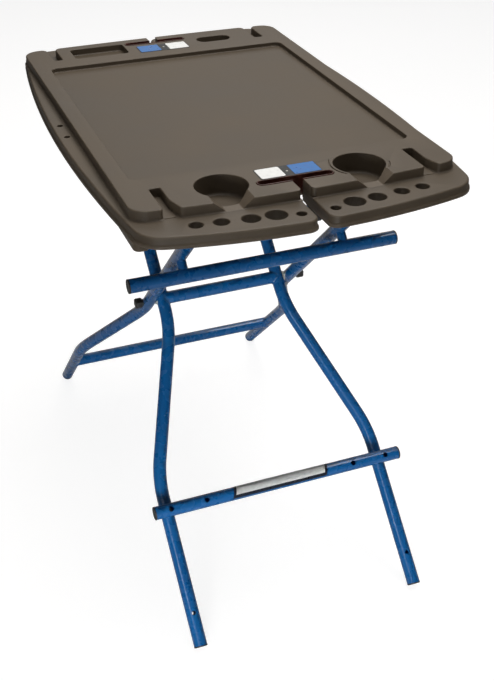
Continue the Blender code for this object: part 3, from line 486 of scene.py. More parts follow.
def brushedMetal(name, look):
    material, tree, shader = newMaterial(name, look["flatRoughness"], look["metallic"])
    cloud = noiseField(tree, objectPoints(tree), look["cloudScale"], 4)
    drift = rangeOf(tree, cloud, 0.35, 0.7, 0, 1)
    driftColours(tree, shader, drift, look["colour"], look["lighter"])
    brushed = noiseField(tree, objectPoints(tree, look["brushStretch"]), look["brushScale"], 3)
    driftRoughness(tree, shader, brushed, 0.3, 0.7, look["roughness"])
    addBump(tree, shader, [(brushed, look["brushStrength"], grainStep)])
    return material


nylonLook = {"colour": (196, 193, 182), "lighter": (214, 211, 203), "roughness": 0.48,
             "cloudScale": 200, "depth": 0.05}


def milkyPlastic(name, look):
    material, tree, shader = newMaterial(name, look["roughness"])
    cloud = noiseField(tree, objectPoints(tree), look["cloudScale"], 2)
    driftColours(tree, shader, cloud, look["colour"], look["lighter"])
    shader.inputs["Subsurface Weight"].default_value = look["depth"]
    return material


finishPlan = {
    "moulded_plastic": (mouldedPlastic, mouldedLook),
    "liner_plastic": (cloudedPlastic, linerLook),
    "blue_paint": (glossPaint, paintLook),
    "black_plastic": (cloudedPlastic, blackLook),
    "zinc_steel": (brushedMetal, zincLook),
    "nylon": (milkyPlastic, nylonLook),
    "white_vinyl": (cloudedPlastic, whiteLook),
    "blue_vinyl": (cloudedPlastic, blueLook),
    "dark_vinyl": (cloudedPlastic, darkLook),
}
materials = {name: build(name, look) for name, (build, look) in finishPlan.items()}
print("materials made:", len(materials))


# deck, in coordinates measured from the middle of its top face

deckPlan = {
    "ledgeDrop": 0.019, "ledgeThickness": 0.0225,
    "plateauHalf": 0.3128, "plateauFront": 0.472, "plateauRear": 0.4855, "plateauCorner": 0.034,
    "plateauEdge": 0.0026, "footFillet": 0.0038, "footSunk": 0.003, "frontBow": 0.189,
    "rearBow": 0.06, "frontSpan": (-0.2185, 0.2285), "rearSpan": (0.2285, -0.2285), "bowSteps": 16,
    "ledgeHalf": 0.3446, "ledgeFront": 0.556, "ledgeRear": 0.534, "ledgeCorner": 0.055,
    "ledgeEdge": 0.0038, "sideBow": 0.134, "bowCentre": -0.032, "noseBow": 0.42, "tailBow": 0.06,
    "frontCornerAt": 0.91, "rearCornerAt": 0.88, "noseSpan": (0.04, 0.25), "noseSteps": 8,
    "sideReach": 0.42, "sideSteps": 24, "undersideInset": 0.0012, "lip": 0.0029,
    # the lip's round, as shares of its width and heights above the underside
    "lipCurve": ((-0.5, 0.0003), (-0.9, 0.0012), (-1, 0.0026), (-1, 0.0046), (-0.9, 0.0060),
                 (-0.55, 0.0072), (-0.2, 0.0084), (0, 0.0098)),
    "slotHalf": 0.010, "slotCorner": 0.020, "crossHalf": 0.0745, "crossWidth": 0.022,
    "crossFront": -0.4195, "crossRear": 0.449, "slotPlay": 0.0001, "slotPast": 0.003,
    "crossPast": 0.004, "nosePast": 0.01,
}
underside = -deckPlan["ledgeDrop"] - deckPlan["ledgeThickness"]
ledgeTop = -deckPlan["ledgeDrop"]


def frontEdge(x):
    return -deckPlan["plateauFront"] + deckPlan["frontBow"] * x * x


def rearEdge(x):
    return deckPlan["plateauRear"] - deckPlan["rearBow"] * x * x


pocketPlan = {
    "x": 0.2485, "half": 0.010, "frontEnd": -0.3705, "rearEnd": 0.392, "corner": 0.0042,
    "flare": 0.010, "flareLength": 0.035, "flareRadius": 0.05, "mouth": 0.006, "rearMouth": 0.014,
    "step": 0.0015, "floorEdge": 0.0015, "floorCorner": 0.002, "floorSunk": 0.002,
    "floorSpread": 0.0005,
    "underWall": 0.002, "underEnd": 0.003,
}


def pocketCorners(side, rear):
    # the pocket's corners in the order in which the plateau's outline meets them
    plan = pocketPlan
    middle = side * plan["x"]
    left = middle - plan["half"]
    right = middle + plan["half"]
    corner = plan["corner"]
    if rear:
        return [(right, rearEdge(right), plan["rearMouth"]), (right, plan["rearEnd"], corner),
                (left, plan["rearEnd"], corner), (left, rearEdge(left), plan["rearMouth"])]
    flared = right + plan["flare"]
    return [(left, frontEdge(left), plan["mouth"]), (left, plan["frontEnd"], corner),
            (right, plan["frontEnd"], corner),
            (right, frontEdge(right) + plan["flareLength"], plan["flareRadius"]),
            (flared, frontEdge(flared), plan["mouth"])]


def edgePoints(edge, start, end):
    return [(x, edge(x), 0) for x in evenSteps(start, end, deckPlan["bowSteps"])[1:-1]]


def plateauOutline():
    plan = deckPlan
    half = plan["plateauHalf"]
    corner = plan["plateauCorner"]
    front = frontEdge(half)
    rear = rearEdge(half)
    corners = [(-half, front, corner)] + pocketCorners(-1, False)
    corners += edgePoints(frontEdge, *plan["frontSpan"]) + pocketCorners(1, False)
    corners += [(half, front, corner), (half, rear, corner)] + pocketCorners(1, True)
    corners += edgePoints(rearEdge, *plan["rearSpan"]) + pocketCorners(-1, True)
    corners.append((-half, rear, corner))
    return roundedPath(corners)


def plateauMesh():
    plan = deckPlan
    foot = plan["footFillet"]
    profile = [(-foot, ledgeTop - plan["footSunk"]), (-foot, ledgeTop + foot * 0.05)]
    profile += [(-distance, z) for distance, z in floorEdge(ledgeTop, foot, 5)[1:]]
    return stackOutline(plateauOutline(), profile + topEdge(0, plan["plateauEdge"], 6))


def noseReach(x, rear):
    plan = deckPlan
    if rear:
        return plan["ledgeRear"] - plan["tailBow"] * x * x
    return -plan["ledgeFront"] + plan["noseBow"] * x * x


def nosePoints(start, end, rear):
    return [(x, noseReach(x, rear), 0) for x in evenSteps(start, end, deckPlan["noseSteps"])]


def ledgeSide(side, y):
    plan = deckPlan
    pinch = plan["sideBow"] * (y - plan["bowCentre"]) ** 2
    return (plan["ledgeHalf"] - pinch) * side


def sidePoints(side, start, end):
    return [(ledgeSide(side, y), y, 0) for y in evenSteps(start, end, deckPlan["sideSteps"])]


def slotEnds(rear):
    # the centre slot and its rounded nose corners, as they break the ledge's outline
    plan = deckPlan
    inner = plan["crossRear"] if rear else plan["crossFront"]
    nose = noseReach(plan["slotHalf"], rear)
    first = plan["slotHalf"] if rear else -plan["slotHalf"]
    return [(first, nose, plan["slotCorner"]), (first, inner, 0),
            (-first, inner, 0), (-first, nose, plan["slotCorner"])]


def ledgeOutline():
    plan = deckPlan
    corner = plan["ledgeCorner"]
    front = noseReach(plan["ledgeHalf"] * plan["frontCornerAt"], False)
    rear = noseReach(plan["ledgeHalf"] * plan["rearCornerAt"], True)
    near, far = plan["noseSpan"]
    reach = plan["sideReach"]
    corners = [(ledgeSide(-1, front), front, corner)]
    corners += nosePoints(-far, -near, False) + slotEnds(False) + nosePoints(near, far, False)
    corners += [(ledgeSide(1, front), front, corner)] + sidePoints(1, -reach, reach)
    corners.append((ledgeSide(1, rear), rear, corner))
    corners += nosePoints(far, near, True) + slotEnds(True) + nosePoints(-near, -far, True)
    corners += [(ledgeSide(-1, rear), rear, corner)] + sidePoints(-1, reach, -reach)
    return roundedPath(corners)


def ledgeMesh():
    plan = deckPlan
    profile = [(plan["undersideInset"], underside)]
    profile += [(plan["lip"] * share, underside + rise) for share, rise in plan["lipCurve"]]
    return stackOutline(ledgeOutline(), profile + topEdge(ledgeTop, plan["ledgeEdge"], 6))


railPlan = {"depth": 0.017, "inset": 0.024, "width": 0.030, "front": 0.487, "rear": 0.300,
            "corner": 0.012, "edge": 0.004, "spread": 0.0008, "foot": 0.0025, "rise": 0.003}


def railMesh(side):
    plan = railPlan
    outer = deckPlan["ledgeHalf"] - plan["inset"]
    left, right = sorted((side * outer, side * (outer - plan["width"])))
    outline = roundedBox(left, right, -plan["front"], plan["rear"], plan["corner"])
    top = [(-plan["spread"], underside - plan["rise"]), (-plan["foot"], underside),
           (-plan["foot"], underside + plan["rise"])]
    return stackOutline(outline, bottomEdge(underside - plan["depth"], plan["edge"]) + top)


cupPlan = {
    "x": 0.1345, "y": -0.4014, "radius": 0.0485, "rim": 0.0018, "depth": 0.040, "wall": 0.0035,
    "floor": 0.0045, "foot": 0.006, "steps": 96, "bossRise": 0.008,
    "bossEdge": ((0.0015, 0), (0.0004, 0.0004), (0, 0.0015)),
    "notchTop": 0.0365, "notchBottom": 0.0155, "notchFloor": 0.0008, "notchFlare": (0.052, 0.0030),
    "notchEase": (0.0004, -0.0001, 0.0025), "notchCorner": 0.004, "notchFront": 0.02,
    "notchBack": 0.45,
    "grooveOut": 0.007, "grooveHalf": 0.0021, "grooveDepth": 0.003, "grooveLift": 0.0004,
    "grooveArcs": ((137, 223), (-40, -10)), "grooveSteps": 28, "grooveEnd": 0.15,
}


def cupBoss(side):
    plan = cupPlan
    outer = plan["radius"] + plan["wall"]
    low = -plan["depth"] - plan["floor"]
    profile = [(outer - inset, low + rise) for inset, rise in plan["bossEdge"]]
    profile.append((outer, underside + plan["bossRise"]))
    return moveMesh(turnProfile(profile, plan["steps"]), side * plan["x"], plan["y"])


def cupCutter(side):
    plan = cupPlan
    edges = floorEdge(-plan["depth"], plan["foot"], 6) + flareEdge(0, plan["rim"], 6)
    profile = [(plan["radius"] - distance, z) for distance, z in edges]
    return moveMesh(turnProfile(profile, plan["steps"]), side * plan["x"], plan["y"])


def notchCutter(side):
    plan = cupPlan
    floor = ledgeTop + plan["notchFloor"]
    wider, lower, ease = plan["notchEase"]
    half = [(*plan["notchFlare"], 0), (plan["notchTop"] + wider, lower, ease),
            (plan["notchBottom"], floor, plan["notchCorner"]), (0, floor, 0)]
    line = roundedPath(half, closed=False, stepAngle=8)
    section = line + [(-x, z) for x, z in reversed(line[:-1])]
    middle = side * plan["x"]
    front = -deckPlan["plateauFront"] - plan["notchFront"]
    back = plan["y"] - plan["radius"] * plan["notchBack"]
    return loftRings([[(middle + x, y, z) for x, z in section] for y in (front, back)])


def grooveCutter(start, end):
    # a shallow groove beside the right cup, along an arc about the cup's axis
    plan = cupPlan
    steps = plan["grooveSteps"]
    rings = []
    for step, turn in enumerate(evenSteps(start, end, steps)):
        angle = math.radians(turn)
        taper = min(1.0, step / 3 + plan["grooveEnd"], (steps - step) / 3 + plan["grooveEnd"])
        outward = Vector((math.cos(angle), math.sin(angle), 0))
        centre = Vector((plan["x"], plan["y"], plan["grooveLift"]))
        middle = centre + outward * (plan["radius"] + plan["grooveOut"])
        depth = plan["grooveDepth"] * taper
        rings.append([tuple(middle + outward * u * plan["grooveHalf"] + Vector((0, 0, v * depth)))
                      for u, v in circlePoints(1, 10)])
    return loftRings(rings)


def pocketFloor(side, rear):
    plan = pocketPlan
    half = plan["half"] + plan["underWall"]
    if rear:
        ends = (plan["rearEnd"] - plan["underEnd"], rearEdge(plan["x"]) - plan["underWall"])
    else:
        ends = (frontEdge(plan["x"]) + plan["underWall"], plan["frontEnd"] + plan["underEnd"])
    outline = roundedBox(-half, half, *ends, plan["floorCorner"])
    profile = [(-plan["floorSpread"], ledgeTop - plan["floorSunk"])]
    profile += topEdge(ledgeTop + plan["step"], plan["floorEdge"], 4)
    return moveMesh(stackOutline(outline, profile), side * plan["x"])


def roundEnded(x, y, length, width, gap=0.0):
    # the outline of a slot with half-round ends, the gap smaller all round
    reach = (length - width) / 2
    radius = width / 2 - gap
    steps = 14
    return (arcPoints((x + reach, y), radius, -90, 90, steps)
            + arcPoints((x - reach, y), radius, 90, 270, steps))


def crossOutline(y, gap=0.0):
    return roundEnded(0.0, y, 2 * deckPlan["crossHalf"], deckPlan["crossWidth"], gap)


def throughSlots(y, rear):
    # the cross slot and the centre slot beside it, right through the deck
    plan = deckPlan
    out = plan["nosePast"] if rear else -plan["nosePast"]
    front, back = sorted((y, noseReach(0, rear) + out))
    half = plan["slotHalf"] - plan["slotPlay"]
    past = plan["slotPast"]
    cross = stackOutline(crossOutline(y), [(0.0, underside - plan["crossPast"]),
                                           (0.0, plan["crossPast"])])
    return [cross, boxMesh((-half, front, underside - past), (half, back, past))]


rimPlan = {"round": 0.0018, "sunk": 0.0025, "mouth": 0.009, "past": 0.012, "beyond": 0.02,
           "above": 0.0025, "floor": 0.0008}


def slotRims(y, rear):
    # rounds the plateau's top edges along the centre slot and the cross slot, and the upright
    # corners where the centre slot meets the plateau's end wall
    plan = rimPlan
    half = deckPlan["slotHalf"]
    edge = rearEdge(0) if rear else frontEdge(0)
    out = 1 if rear else -1
    front, back = sorted((y, edge + out * plan["beyond"]))
    centre = roundedBox(-half, half, front, back, 0)
    flare = [(0.0, -plan["sunk"])] + flareEdge(0, plan["round"], 5)
    reach = plan["mouth"]
    mouths = []
    for side in (-1, 1):
        outline = [(side * (half + reach - reach * math.cos(angle)),
                    edge - out * reach * (1 - math.sin(angle))) for angle in quarterAngles(8)]
        outline += [(side * (half + reach), edge + out * plan["past"]),
                    (0, edge + out * plan["past"]), (0, edge - out * reach)]
        mouths.append(prismMesh(outline, ledgeTop + plan["floor"], plan["above"]))
    return [stackOutline(centre, flare), stackOutline(crossOutline(y), flare)] + mouths


recessPlan = {"half": 0.279, "front": 0.3255, "rear": 0.337, "depth": 0.010, "corner": 0.016,
              "rim": 0.0018, "foot": 0.0026}
trayPlan = {"x": -0.144, "y": 0.422, "length": 0.127, "width": 0.070, "depth": 0.015,
            "corner": 0.009, "foot": 0.003, "rim": 0.0015}
wellPlan = {"x": 0.140, "y": 0.420, "length": 0.083, "width": 0.040, "depth": 0.0375,
            "foot": 0.004, "rim": 0.0019}


def recessCutter():
    plan = recessPlan
    outline = roundedBox(-plan["half"], plan["half"], -plan["front"], plan["rear"],
                         plan["corner"], 6)
    profile = floorEdge(-plan["depth"], plan["foot"], 5) + flareEdge(0, plan["rim"], 6)
    return stackOutline(outline, profile)


def hollowCutter(plan, outline):
    profile = floorEdge(-plan["depth"], plan["foot"], 4) + flareEdge(0, plan["rim"], 5)
    return stackOutline(outline, profile)


def trayCutter():
    plan = trayPlan
    half = plan["length"] / 2
    reach = plan["width"] / 2
    outline = roundedBox(plan["x"] - half, plan["x"] + half, plan["y"] - reach,
                         plan["y"] + reach, plan["corner"], 7)
    return hollowCutter(plan, outline)


def wellCutter():
    plan = wellPlan
    return hollowCutter(plan, roundEnded(plan["x"], plan["y"], plan["length"], plan["width"]))


holePlan = {
    # distance from the middle, y, diameter
    "tools": ((0.0321, -0.522, 0.018), (0.0740, -0.5105, 0.039), (0.1194, -0.508, 0.033),
              (0.1706, -0.502, 0.028), (0.2146, -0.4975, 0.025)),
    "rim": 0.0022, "mouth": ((0.0012, -0.001), (0.0003, 0.0003), (0, 0.0012)),
    "dimples": (-0.031, 0.033), "dimpleX": -0.3272, "dimple": 0.012, "dimpleDepth": 0.006,
    "dimpleRim": 0.0008, "dimpleFoot": ((-0.001, 0), (-0.0003, 0.0003), (0, 0.001)),
}


def roundHole(x, y, radius, floor, foot, rim, rimSteps, steps):
    # the foot's entries are (how much wider than the hole, height above its floor)
    profile = [(radius + wider, floor + rise) for wider, rise in foot]
    profile += [(radius - distance, z) for distance, z in flareEdge(ledgeTop, rim, rimSteps)]
    return moveMesh(turnProfile(profile, steps), x, y)


def ledgeHoles():
    plan = holePlan
    holes = [roundHole(side * x, y, diameter / 2, underside, plan["mouth"], plan["rim"], 5, 48)
             for side in (-1, 1) for x, y, diameter in plan["tools"]]
    floor = ledgeTop - plan["dimpleDepth"]
    return holes + [roundHole(plan["dimpleX"], y, plan["dimple"] / 2, floor, plan["dimpleFoot"],
                              plan["dimpleRim"], 3, 32) for y in plan["dimples"]]


def buildDeck():
    plan = deckPlan
    floors = [pocketFloor(side, rear) for side in (-1, 1) for rear in (False, True)]
    body = uniteMeshes(ledgeMesh(), plateauMesh(), railMesh(-1), railMesh(1), cupBoss(-1),
                       cupBoss(1), *floors)
    wells = [recessCutter(), trayCutter(), wellCutter(), cupCutter(-1), cupCutter(1)]
    body = cutMesh(body, joinMeshes(wells + ledgeHoles()))
    tools = []
    for y, rear in ((plan["crossFront"], False), (plan["crossRear"], True)):
        tools += throughSlots(y, rear) + slotRims(y, rear)
    tools += [notchCutter(-1), notchCutter(1)]
    tools += [grooveCutter(start, end) for start, end in cupPlan["grooveArcs"]]
    for tool in tools:
        body = cutMesh(body, tool)
    finishPiece("workDeck", body, "deck_top", "moulded_plastic", ["deck"], deckPlace, 28)


buildDeck()
print("deck built")


linerPlan = {"wall": 0.0025, "proud": 0.0010, "short": 0.006, "gap": 0.0003, "shoulder": 0.2,
             "crest": 0.8, "opening": 0.03, "past": 0.01, "bevel": 0.0003}


def linerMesh(y, rear):
    plan = linerPlan
    wall = plan["wall"]
    shoulder = plan["proud"] * plan["shoulder"]
    crest = plan["proud"] * plan["crest"]
    low = underside + plan["short"]
    profile = [(0.0, low), (0.0, shoulder)]
    for step in range(1, 6):
        angle = math.radians(180 * step / 6)
        profile.append((wall / 2 - wall / 2 * math.cos(angle), shoulder + crest * math.sin(angle)))
    profile += [(wall, shoulder), (wall, low)]
    shell = stackOutline(crossOutline(y, plan["gap"]), profile, hollow=True)
    half = deckPlan["slotHalf"]
    front, back = sorted((y, y + (plan["opening"] if rear else -plan["opening"])))
    return cutMesh(shell, boxMesh((-half, front, low - plan["past"]), (half, back, plan["past"])))


for linerEnd, linerY in (("front", deckPlan["crossFront"]), ("rear", deckPlan["crossRear"])):
    finishPiece(linerEnd + "SlotLiner", linerMesh(linerY, linerEnd == "rear"), "deck_top",
                "liner_plastic", [linerEnd + "_slot_liner"], deckPlace, 40, linerPlan["bevel"])


labelPlan = {
    "thickness": 0.0004, "edge": 0.0001, "bevel": 0.0002,
    "corners": {"white": 0.0035, "blue": 0.001}, "surround": 0.0019, "surroundCorner": 0.004,
    "surroundEdge": 0.0003, "surroundFrom": 0.0001, "surroundTop": 0.0005,
    "rivet": ((0.0024, 0.0005), (0.0024, 0.0007), (0.0016, 0.0009), (0.0006, 0.00095)),
    "front": {"white": (-0.0588, -0.0125), "blue": (0.0052, 0.0570), "y": (-0.406, -0.364),
              "dot": (-0.0036, -0.3875)},
    "rear": {"white": (0.0172, 0.0644), "blue": (-0.053, -0.0035), "y": (0.376, 0.421),
             "dot": (0.0070, 0.3985)},
}


def buildLabels(end):
    # two plain sheets side by side in a thin dark surround
    sizes = labelPlan
    plan = labelPlan[end]
    low, high = plan["y"]
    xs = plan["white"] + plan["blue"]
    rim = sizes["surround"]
    ground = sizes["surroundTop"]
    surround = roundedBox(min(xs) - rim, max(xs) + rim, low - rim, high + rim,
                          sizes["surroundCorner"])
    edge = topEdge(ground, sizes["surroundEdge"], 2)
    base = stackOutline(surround, [(0.0, sizes["surroundFrom"])] + edge)
    finishPiece(end + "LabelSurround", base, "deck_top", "black_plastic", (), deckPlace)
    for colour, corner in sizes["corners"].items():
        outline = roundedBox(*plan[colour], low, high, corner)
        top = ground + sizes["thickness"]
        sheet = stackOutline(outline, [(0.0, ground), (0.0, top - sizes["edge"]),
                                       (sizes["bevel"], top)])
        finishPiece(end + colour.capitalize() + "Label", sheet, "deck_top", "liner_plastic", (),
                    deckPlace, look=colour + "_vinyl")
    dot = moveMesh(turnProfile(sizes["rivet"], 24), *plan["dot"])
    finishPiece(end + "LabelRivet", dot, "deck_top", "nylon", (), deckPlace)


buildLabels("front")
buildLabels("rear")
print("liners and labels built")


# round tubes of the two frames; y runs up the leg from the pivot, z towards the bars

tubePlan = {"radius": 0.0143, "wall": 0.0018, "steps": 48, "past": 0.003, "within": 0.004,
            "copeGap": 0.0001, "saddleGap": 0.0002}
legPlan = {
    "lower": 0.760, "upper": 0.4995, "overhang": 0.016, "halfTop": 0.1405, "halfFoot": 0.2515,
    "spacing": 0.0315, "jogStart": 0.067, "jogEnd": 0.397, "bendRadius": 0.28, "bendSteps": 10,
    "crossTube": 0.5667, "footHole": 0.689, "footHoleSize": 0.0084, "sideHole": 0.652,
    "sideHoleSize": 0.0064, "studHole": 0.0083, "boltHole": 0.0083,
}
barPlan = {
    "length": 0.5746, "offset": 0.042, "lowerAt": -0.4704, "upperAt": 0.3496, "access": 0.011,
    "bolt": 0.0063, "standoff": 0.020, "standoffFrom": 0.008, "standoffLength": 0.026,
}
plugFlange = 0.003


def legLine(halfTop, halfFoot):
    plan = legPlan
    bend = plan["bendRadius"]
    angle = math.atan2(halfFoot - halfTop, plan["jogEnd"] - plan["jogStart"])
    tangent = bend * math.tan(angle / 2)
    turn = math.degrees(angle)
    path = [(halfTop, plan["upper"] + plan["overhang"])]
    path += arcPoints((halfTop + bend, -plan["jogStart"] + tangent), bend, 180, 180 + turn,
                      plan["bendSteps"])
    path += arcPoints((halfFoot - bend, -plan["jogEnd"] - tangent), bend, turn, 0,
                      plan["bendSteps"])
    path.append((halfFoot, -plan["lower"] + plugFlange))
    return path


def tubeRings(path, radius):
    rings = []
    for index, point in enumerate(path):
        ahead = Vector(path[min(len(path) - 1, index + 1)])
        run = (ahead - Vector(path[max(0, index - 1)])).normalized()
        across = Vector((run.y, -run.x, 0.0))
        centre = Vector((point[0], point[1], 0.0))
        rings.append([tuple(centre + across * u + Vector((0.0, 0.0, v)))
                      for u, v in circlePoints(radius, tubePlan["steps"])])
    return rings


def tubeMesh(path):
    outer = tubeRings(path, tubePlan["radius"])
    inner = tubeRings(path, tubePlan["radius"] - tubePlan["wall"])
    return loftRings(outer + inner[::-1], hollow=True)


def legMesh(halfTop, halfFoot, side, hingeHole, barAt):
    plan = legPlan
    leg = tubeMesh(legLine(halfTop, halfFoot))
    reach = tubePlan["radius"] + tubePlan["past"]
    top = (halfTop - reach, halfTop + reach)
    foot = (halfFoot - reach, halfFoot - tubePlan["within"])
    through = (-reach, reach)
    barX = halfFoot if barAt < 0 else halfTop
    # axis, diameter, from where to where, centre
    holes = [("X", plan["studHole"], top, (0.0, 0.0)),
             ("Z", barPlan["bolt"], through, (barX, barAt)),
             ("Z", plan["footHoleSize"], through, (halfFoot, -plan["footHole"])),
             ("X", plan["sideHoleSize"], foot, (-plan["sideHole"], 0.0))]
    if hingeHole:
        holes.insert(1, ("X", plan["boltHole"], top, (plan["upper"], 0.0)))
    leg = cutMesh(leg, joinMeshes([rodAlong(axis, size / 2, *span, centre)
                                   for axis, size, span, centre in holes]))
    if side < 0:
        leg.transform(Matrix.Scale(-1, 4, (1, 0, 0)))
        leg.flip_normals()
    return leg


def copedTube(halfSpan, at):
    tube = turnMesh(tubeMesh([(0.0, -halfSpan), (0.0, halfSpan)]), 90, "Z")
    moveMesh(tube, 0.0, at, 0.0)
    radius = tubePlan["radius"]
    legs = [rodAlong("Y", radius + tubePlan["copeGap"], at - radius * 2, at + radius * 2,
                     (side * halfSpan, 0.0), 64) for side in (-1, 1)]
    return cutMesh(tube, joinMeshes(legs))


weldPlan = {"bead": 0.0019, "flatness": 0.75, "ripple": 0.00035, "ripples": 26, "steps": 156,
            "sink": 0.0004, "closest": 0.0022}


def weldMesh(halfSpan, at, side):
    # a rippled bead along the line where a cross tube meets a leg of the same size
    plan = weldPlan
    radius = tubePlan["radius"]
    line = []
    for y, z in circlePoints(radius, plan["steps"]):
        depth = math.sqrt(max(0.0, radius * radius - z * z))
        line.append(Vector((side * (halfSpan - max(depth, plan["closest"])), at + y, z)))
    rings = []
    for index, here in enumerate(line):
        run = (line[(index + 1) % len(line)] - line[index - 1]).normalized()
        outward = (here - Vector((here.x, at, 0.0))).normalized()
        outward = (outward - run * outward.dot(run)).normalized()
        across = run.cross(outward)
        wave = math.cos(2 * math.pi * plan["ripples"] * index / len(line))
        size = plan["bead"] + plan["ripple"] * wave
        high = size * plan["flatness"]
        rings.append([tuple(here + outward * (u * high - plan["sink"]) + across * v * size)
                      for u, v in circlePoints(1, 10)])
    return loftRings(rings, loop=True)


def barMesh(boltHalf):
    half = barPlan["length"] / 2 - plugFlange
    bar = turnMesh(tubeMesh([(0.0, -half), (0.0, half)]), 90, "Z")
    radius = tubePlan["radius"]
    reach = radius + tubePlan["past"]
    holes = []
    for side in (-1, 1):
        for x in (legPlan["halfTop"] + legPlan["spacing"], legPlan["halfFoot"]):
            holes.append(rodAlong("Z", barPlan["access"] / 2, 0.0, reach, (side * x, 0.0)))
        holes.append(rodAlong("Z", barPlan["bolt"] / 2, -reach, -radius + tubePlan["within"],
                              (side * boltHalf, 0.0)))
    return cutMesh(bar, joinMeshes(holes))


def standoffMesh():
    plan = barPlan
    radius = plan["standoff"] / 2
    hole = plan["bolt"] / 2
    length = plan["standoffLength"]
    post = turnProfile([(radius, 0.0), (radius, length), (hole, length), (hole, 0.0)], 40,
                       hollow=True)
    moveMesh(post, 0.0, 0.0, plan["standoffFrom"])
    tight = tubePlan["radius"] + tubePlan["saddleGap"]
    leg = rodAlong("Y", tight, -radius * 2, radius * 2, steps=64)
    bar = rodAlong("X", tight, -radius * 2, radius * 2, (0.0, plan["offset"]), 64)
    return cutMesh(post, leg, bar)


capPlan = {
    "shank": 0.016, "topShank": 0.009, "overhang": 0.0003, "edge": 0.0009, "footEdge": 0.0014,
    "play": 0.0002, "chamfer": 0.001, "ribs": 3, "firstRib": 0.003, "ribPitch": 0.0035,
    "ribDepth": 0.0006, "ribHalf": 0.0007, "plain": 0.002, "flangeFrom": 0.0002,
    "rimWidth": 0.0026, "dishStart": 0.0034, "dishCentre": 0.004, "dish": 0.0009,
    "dishShare": 0.9, "steps": 48,
}


def capMesh(length, edge=capPlan["edge"]):
    # the tube ends at z = 0; the cap's face is dished inside a rounded rim
    plan = capPlan
    outer = tubePlan["radius"] + plan["overhang"]
    bore = tubePlan["radius"] - tubePlan["wall"] - plan["play"]
    top = plugFlange
    profile = [(bore - plan["chamfer"], -length), (bore, -length + plan["chamfer"])]
    for rib in range(plan["ribs"]):
        z = -length + plan["firstRib"] + rib * plan["ribPitch"]
        if z < -plan["plain"]:
            profile += [(bore, z), (bore - plan["ribDepth"], z + plan["ribHalf"]),
                        (bore, z + 2 * plan["ribHalf"])]
    profile += [(bore, plan["flangeFrom"]), (outer, plan["flangeFrom"])]
    profile += [(outer - distance, z) for distance, z in topEdge(top, edge, 4)]
    profile += [(outer - plan["rimWidth"], top), (outer - plan["dishStart"], top - plan["dish"]),
                (plan["dishCentre"], top - plan["dish"] * plan["dishShare"])]
    return turnProfile(profile, plan["steps"])


def footMesh(x, place):
    foot = turnMesh(capMesh(capPlan["shank"], capPlan["footEdge"]), 90, "X")
    moveMesh(foot, x, -legPlan["lower"] + plugFlange)
    floor = boxMesh((-1.0, -1.0, -0.05), (1.0, 1.0, 0.0))
    floor.transform(place.inverted())
    return cutMesh(foot, floor)


def buildBar(title, node, body, place, at, boltHalf):
    carried = place @ Matrix.Translation((0, at, barPlan["offset"]))
    finishPiece(title, barMesh(boltHalf), body, "blue_paint", [node], carried)
    for side, label in sides:
        end = label.capitalize()
        post = place @ Matrix.Translation((side * boltHalf, at, 0))
        finishPiece(title + "Standoff" + end, standoffMesh(), body, "blue_paint",
                    [node + "_standoff_" + label], post)
        cap = turnMesh(capMesh(capPlan["shank"]), side * 90, "Y")
        moveMesh(cap, side * (barPlan["length"] / 2 - plugFlange))
        finishPiece(title + "Cap" + end, cap, body, "black_plastic", [node + "_plug_" + label],
                    carried)


def buildFrame(name, place, halfTop, halfFoot, barName, barAt, boltHalf):
    body = name + "_frame"
    for side, label in sides:
        end = label.capitalize()
        leg = legMesh(halfTop, halfFoot, side, name == "inner", barAt)
        finishPiece(name + "Leg" + end, leg, body, "blue_paint", [name + "_leg_" + label], place)
        finishPiece(name + "Foot" + end, footMesh(side * halfFoot, place), body, "black_plastic",
                    [name + "_foot_" + label], place)
        top = moveMesh(turnMesh(capMesh(capPlan["topShank"]), -90, "X"), side * halfTop,
                       legPlan["upper"] + legPlan["overhang"])
        finishPiece(name + "TopCap" + end, top, body, "black_plastic",
                    [name + "_top_plug_" + label], place)
    buildBar(barName + "Bar", barName + "_bar", body, place, barAt, boltHalf)
    print(name, "frame built")


def buildCrossTube(title, node, body, place, halfSpan, at):
    finishPiece(title, copedTube(halfSpan, at), body, "blue_paint", [node], place)
    for side, label in sides:
        finishPiece(title + "Weld" + label.capitalize(), weldMesh(halfSpan, at, side), body,
                    "blue_paint", (), place, 60)


innerTop = legPlan["halfTop"]
innerFoot = legPlan["halfFoot"]
outerTop = innerTop + legPlan["spacing"]
outerFoot = innerFoot + legPlan["spacing"]
buildFrame("inner", innerPlace, innerTop, innerFoot, "lower", barPlan["lowerAt"], innerFoot)
buildFrame("outer", outerPlace, outerTop, outerFoot, "upper", barPlan["upperAt"], outerTop)
buildCrossTube("innerCrossTube", "inner_cross_tube", "inner_frame", innerPlace, innerTop, 0.0)
buildCrossTube("outerTopTube", "outer_top_tube", "outer_frame", outerPlace, outerTop,
               legPlan["upper"])
buildCrossTube("outerCrossTube", "outer_cross_tube", "outer_frame", outerPlace, outerFoot,
               -legPlan["crossTube"])
print("cross tubes built")


# a plain two-colour band round the lower bar

bandPlan = {"half": 0.110, "slant": 0.010, "low": -52, "high": 96, "steps": 24,
            "stripe": (-20, 70), "margin": 0.006, "lift": 0.00025, "thickness": 0.00018}


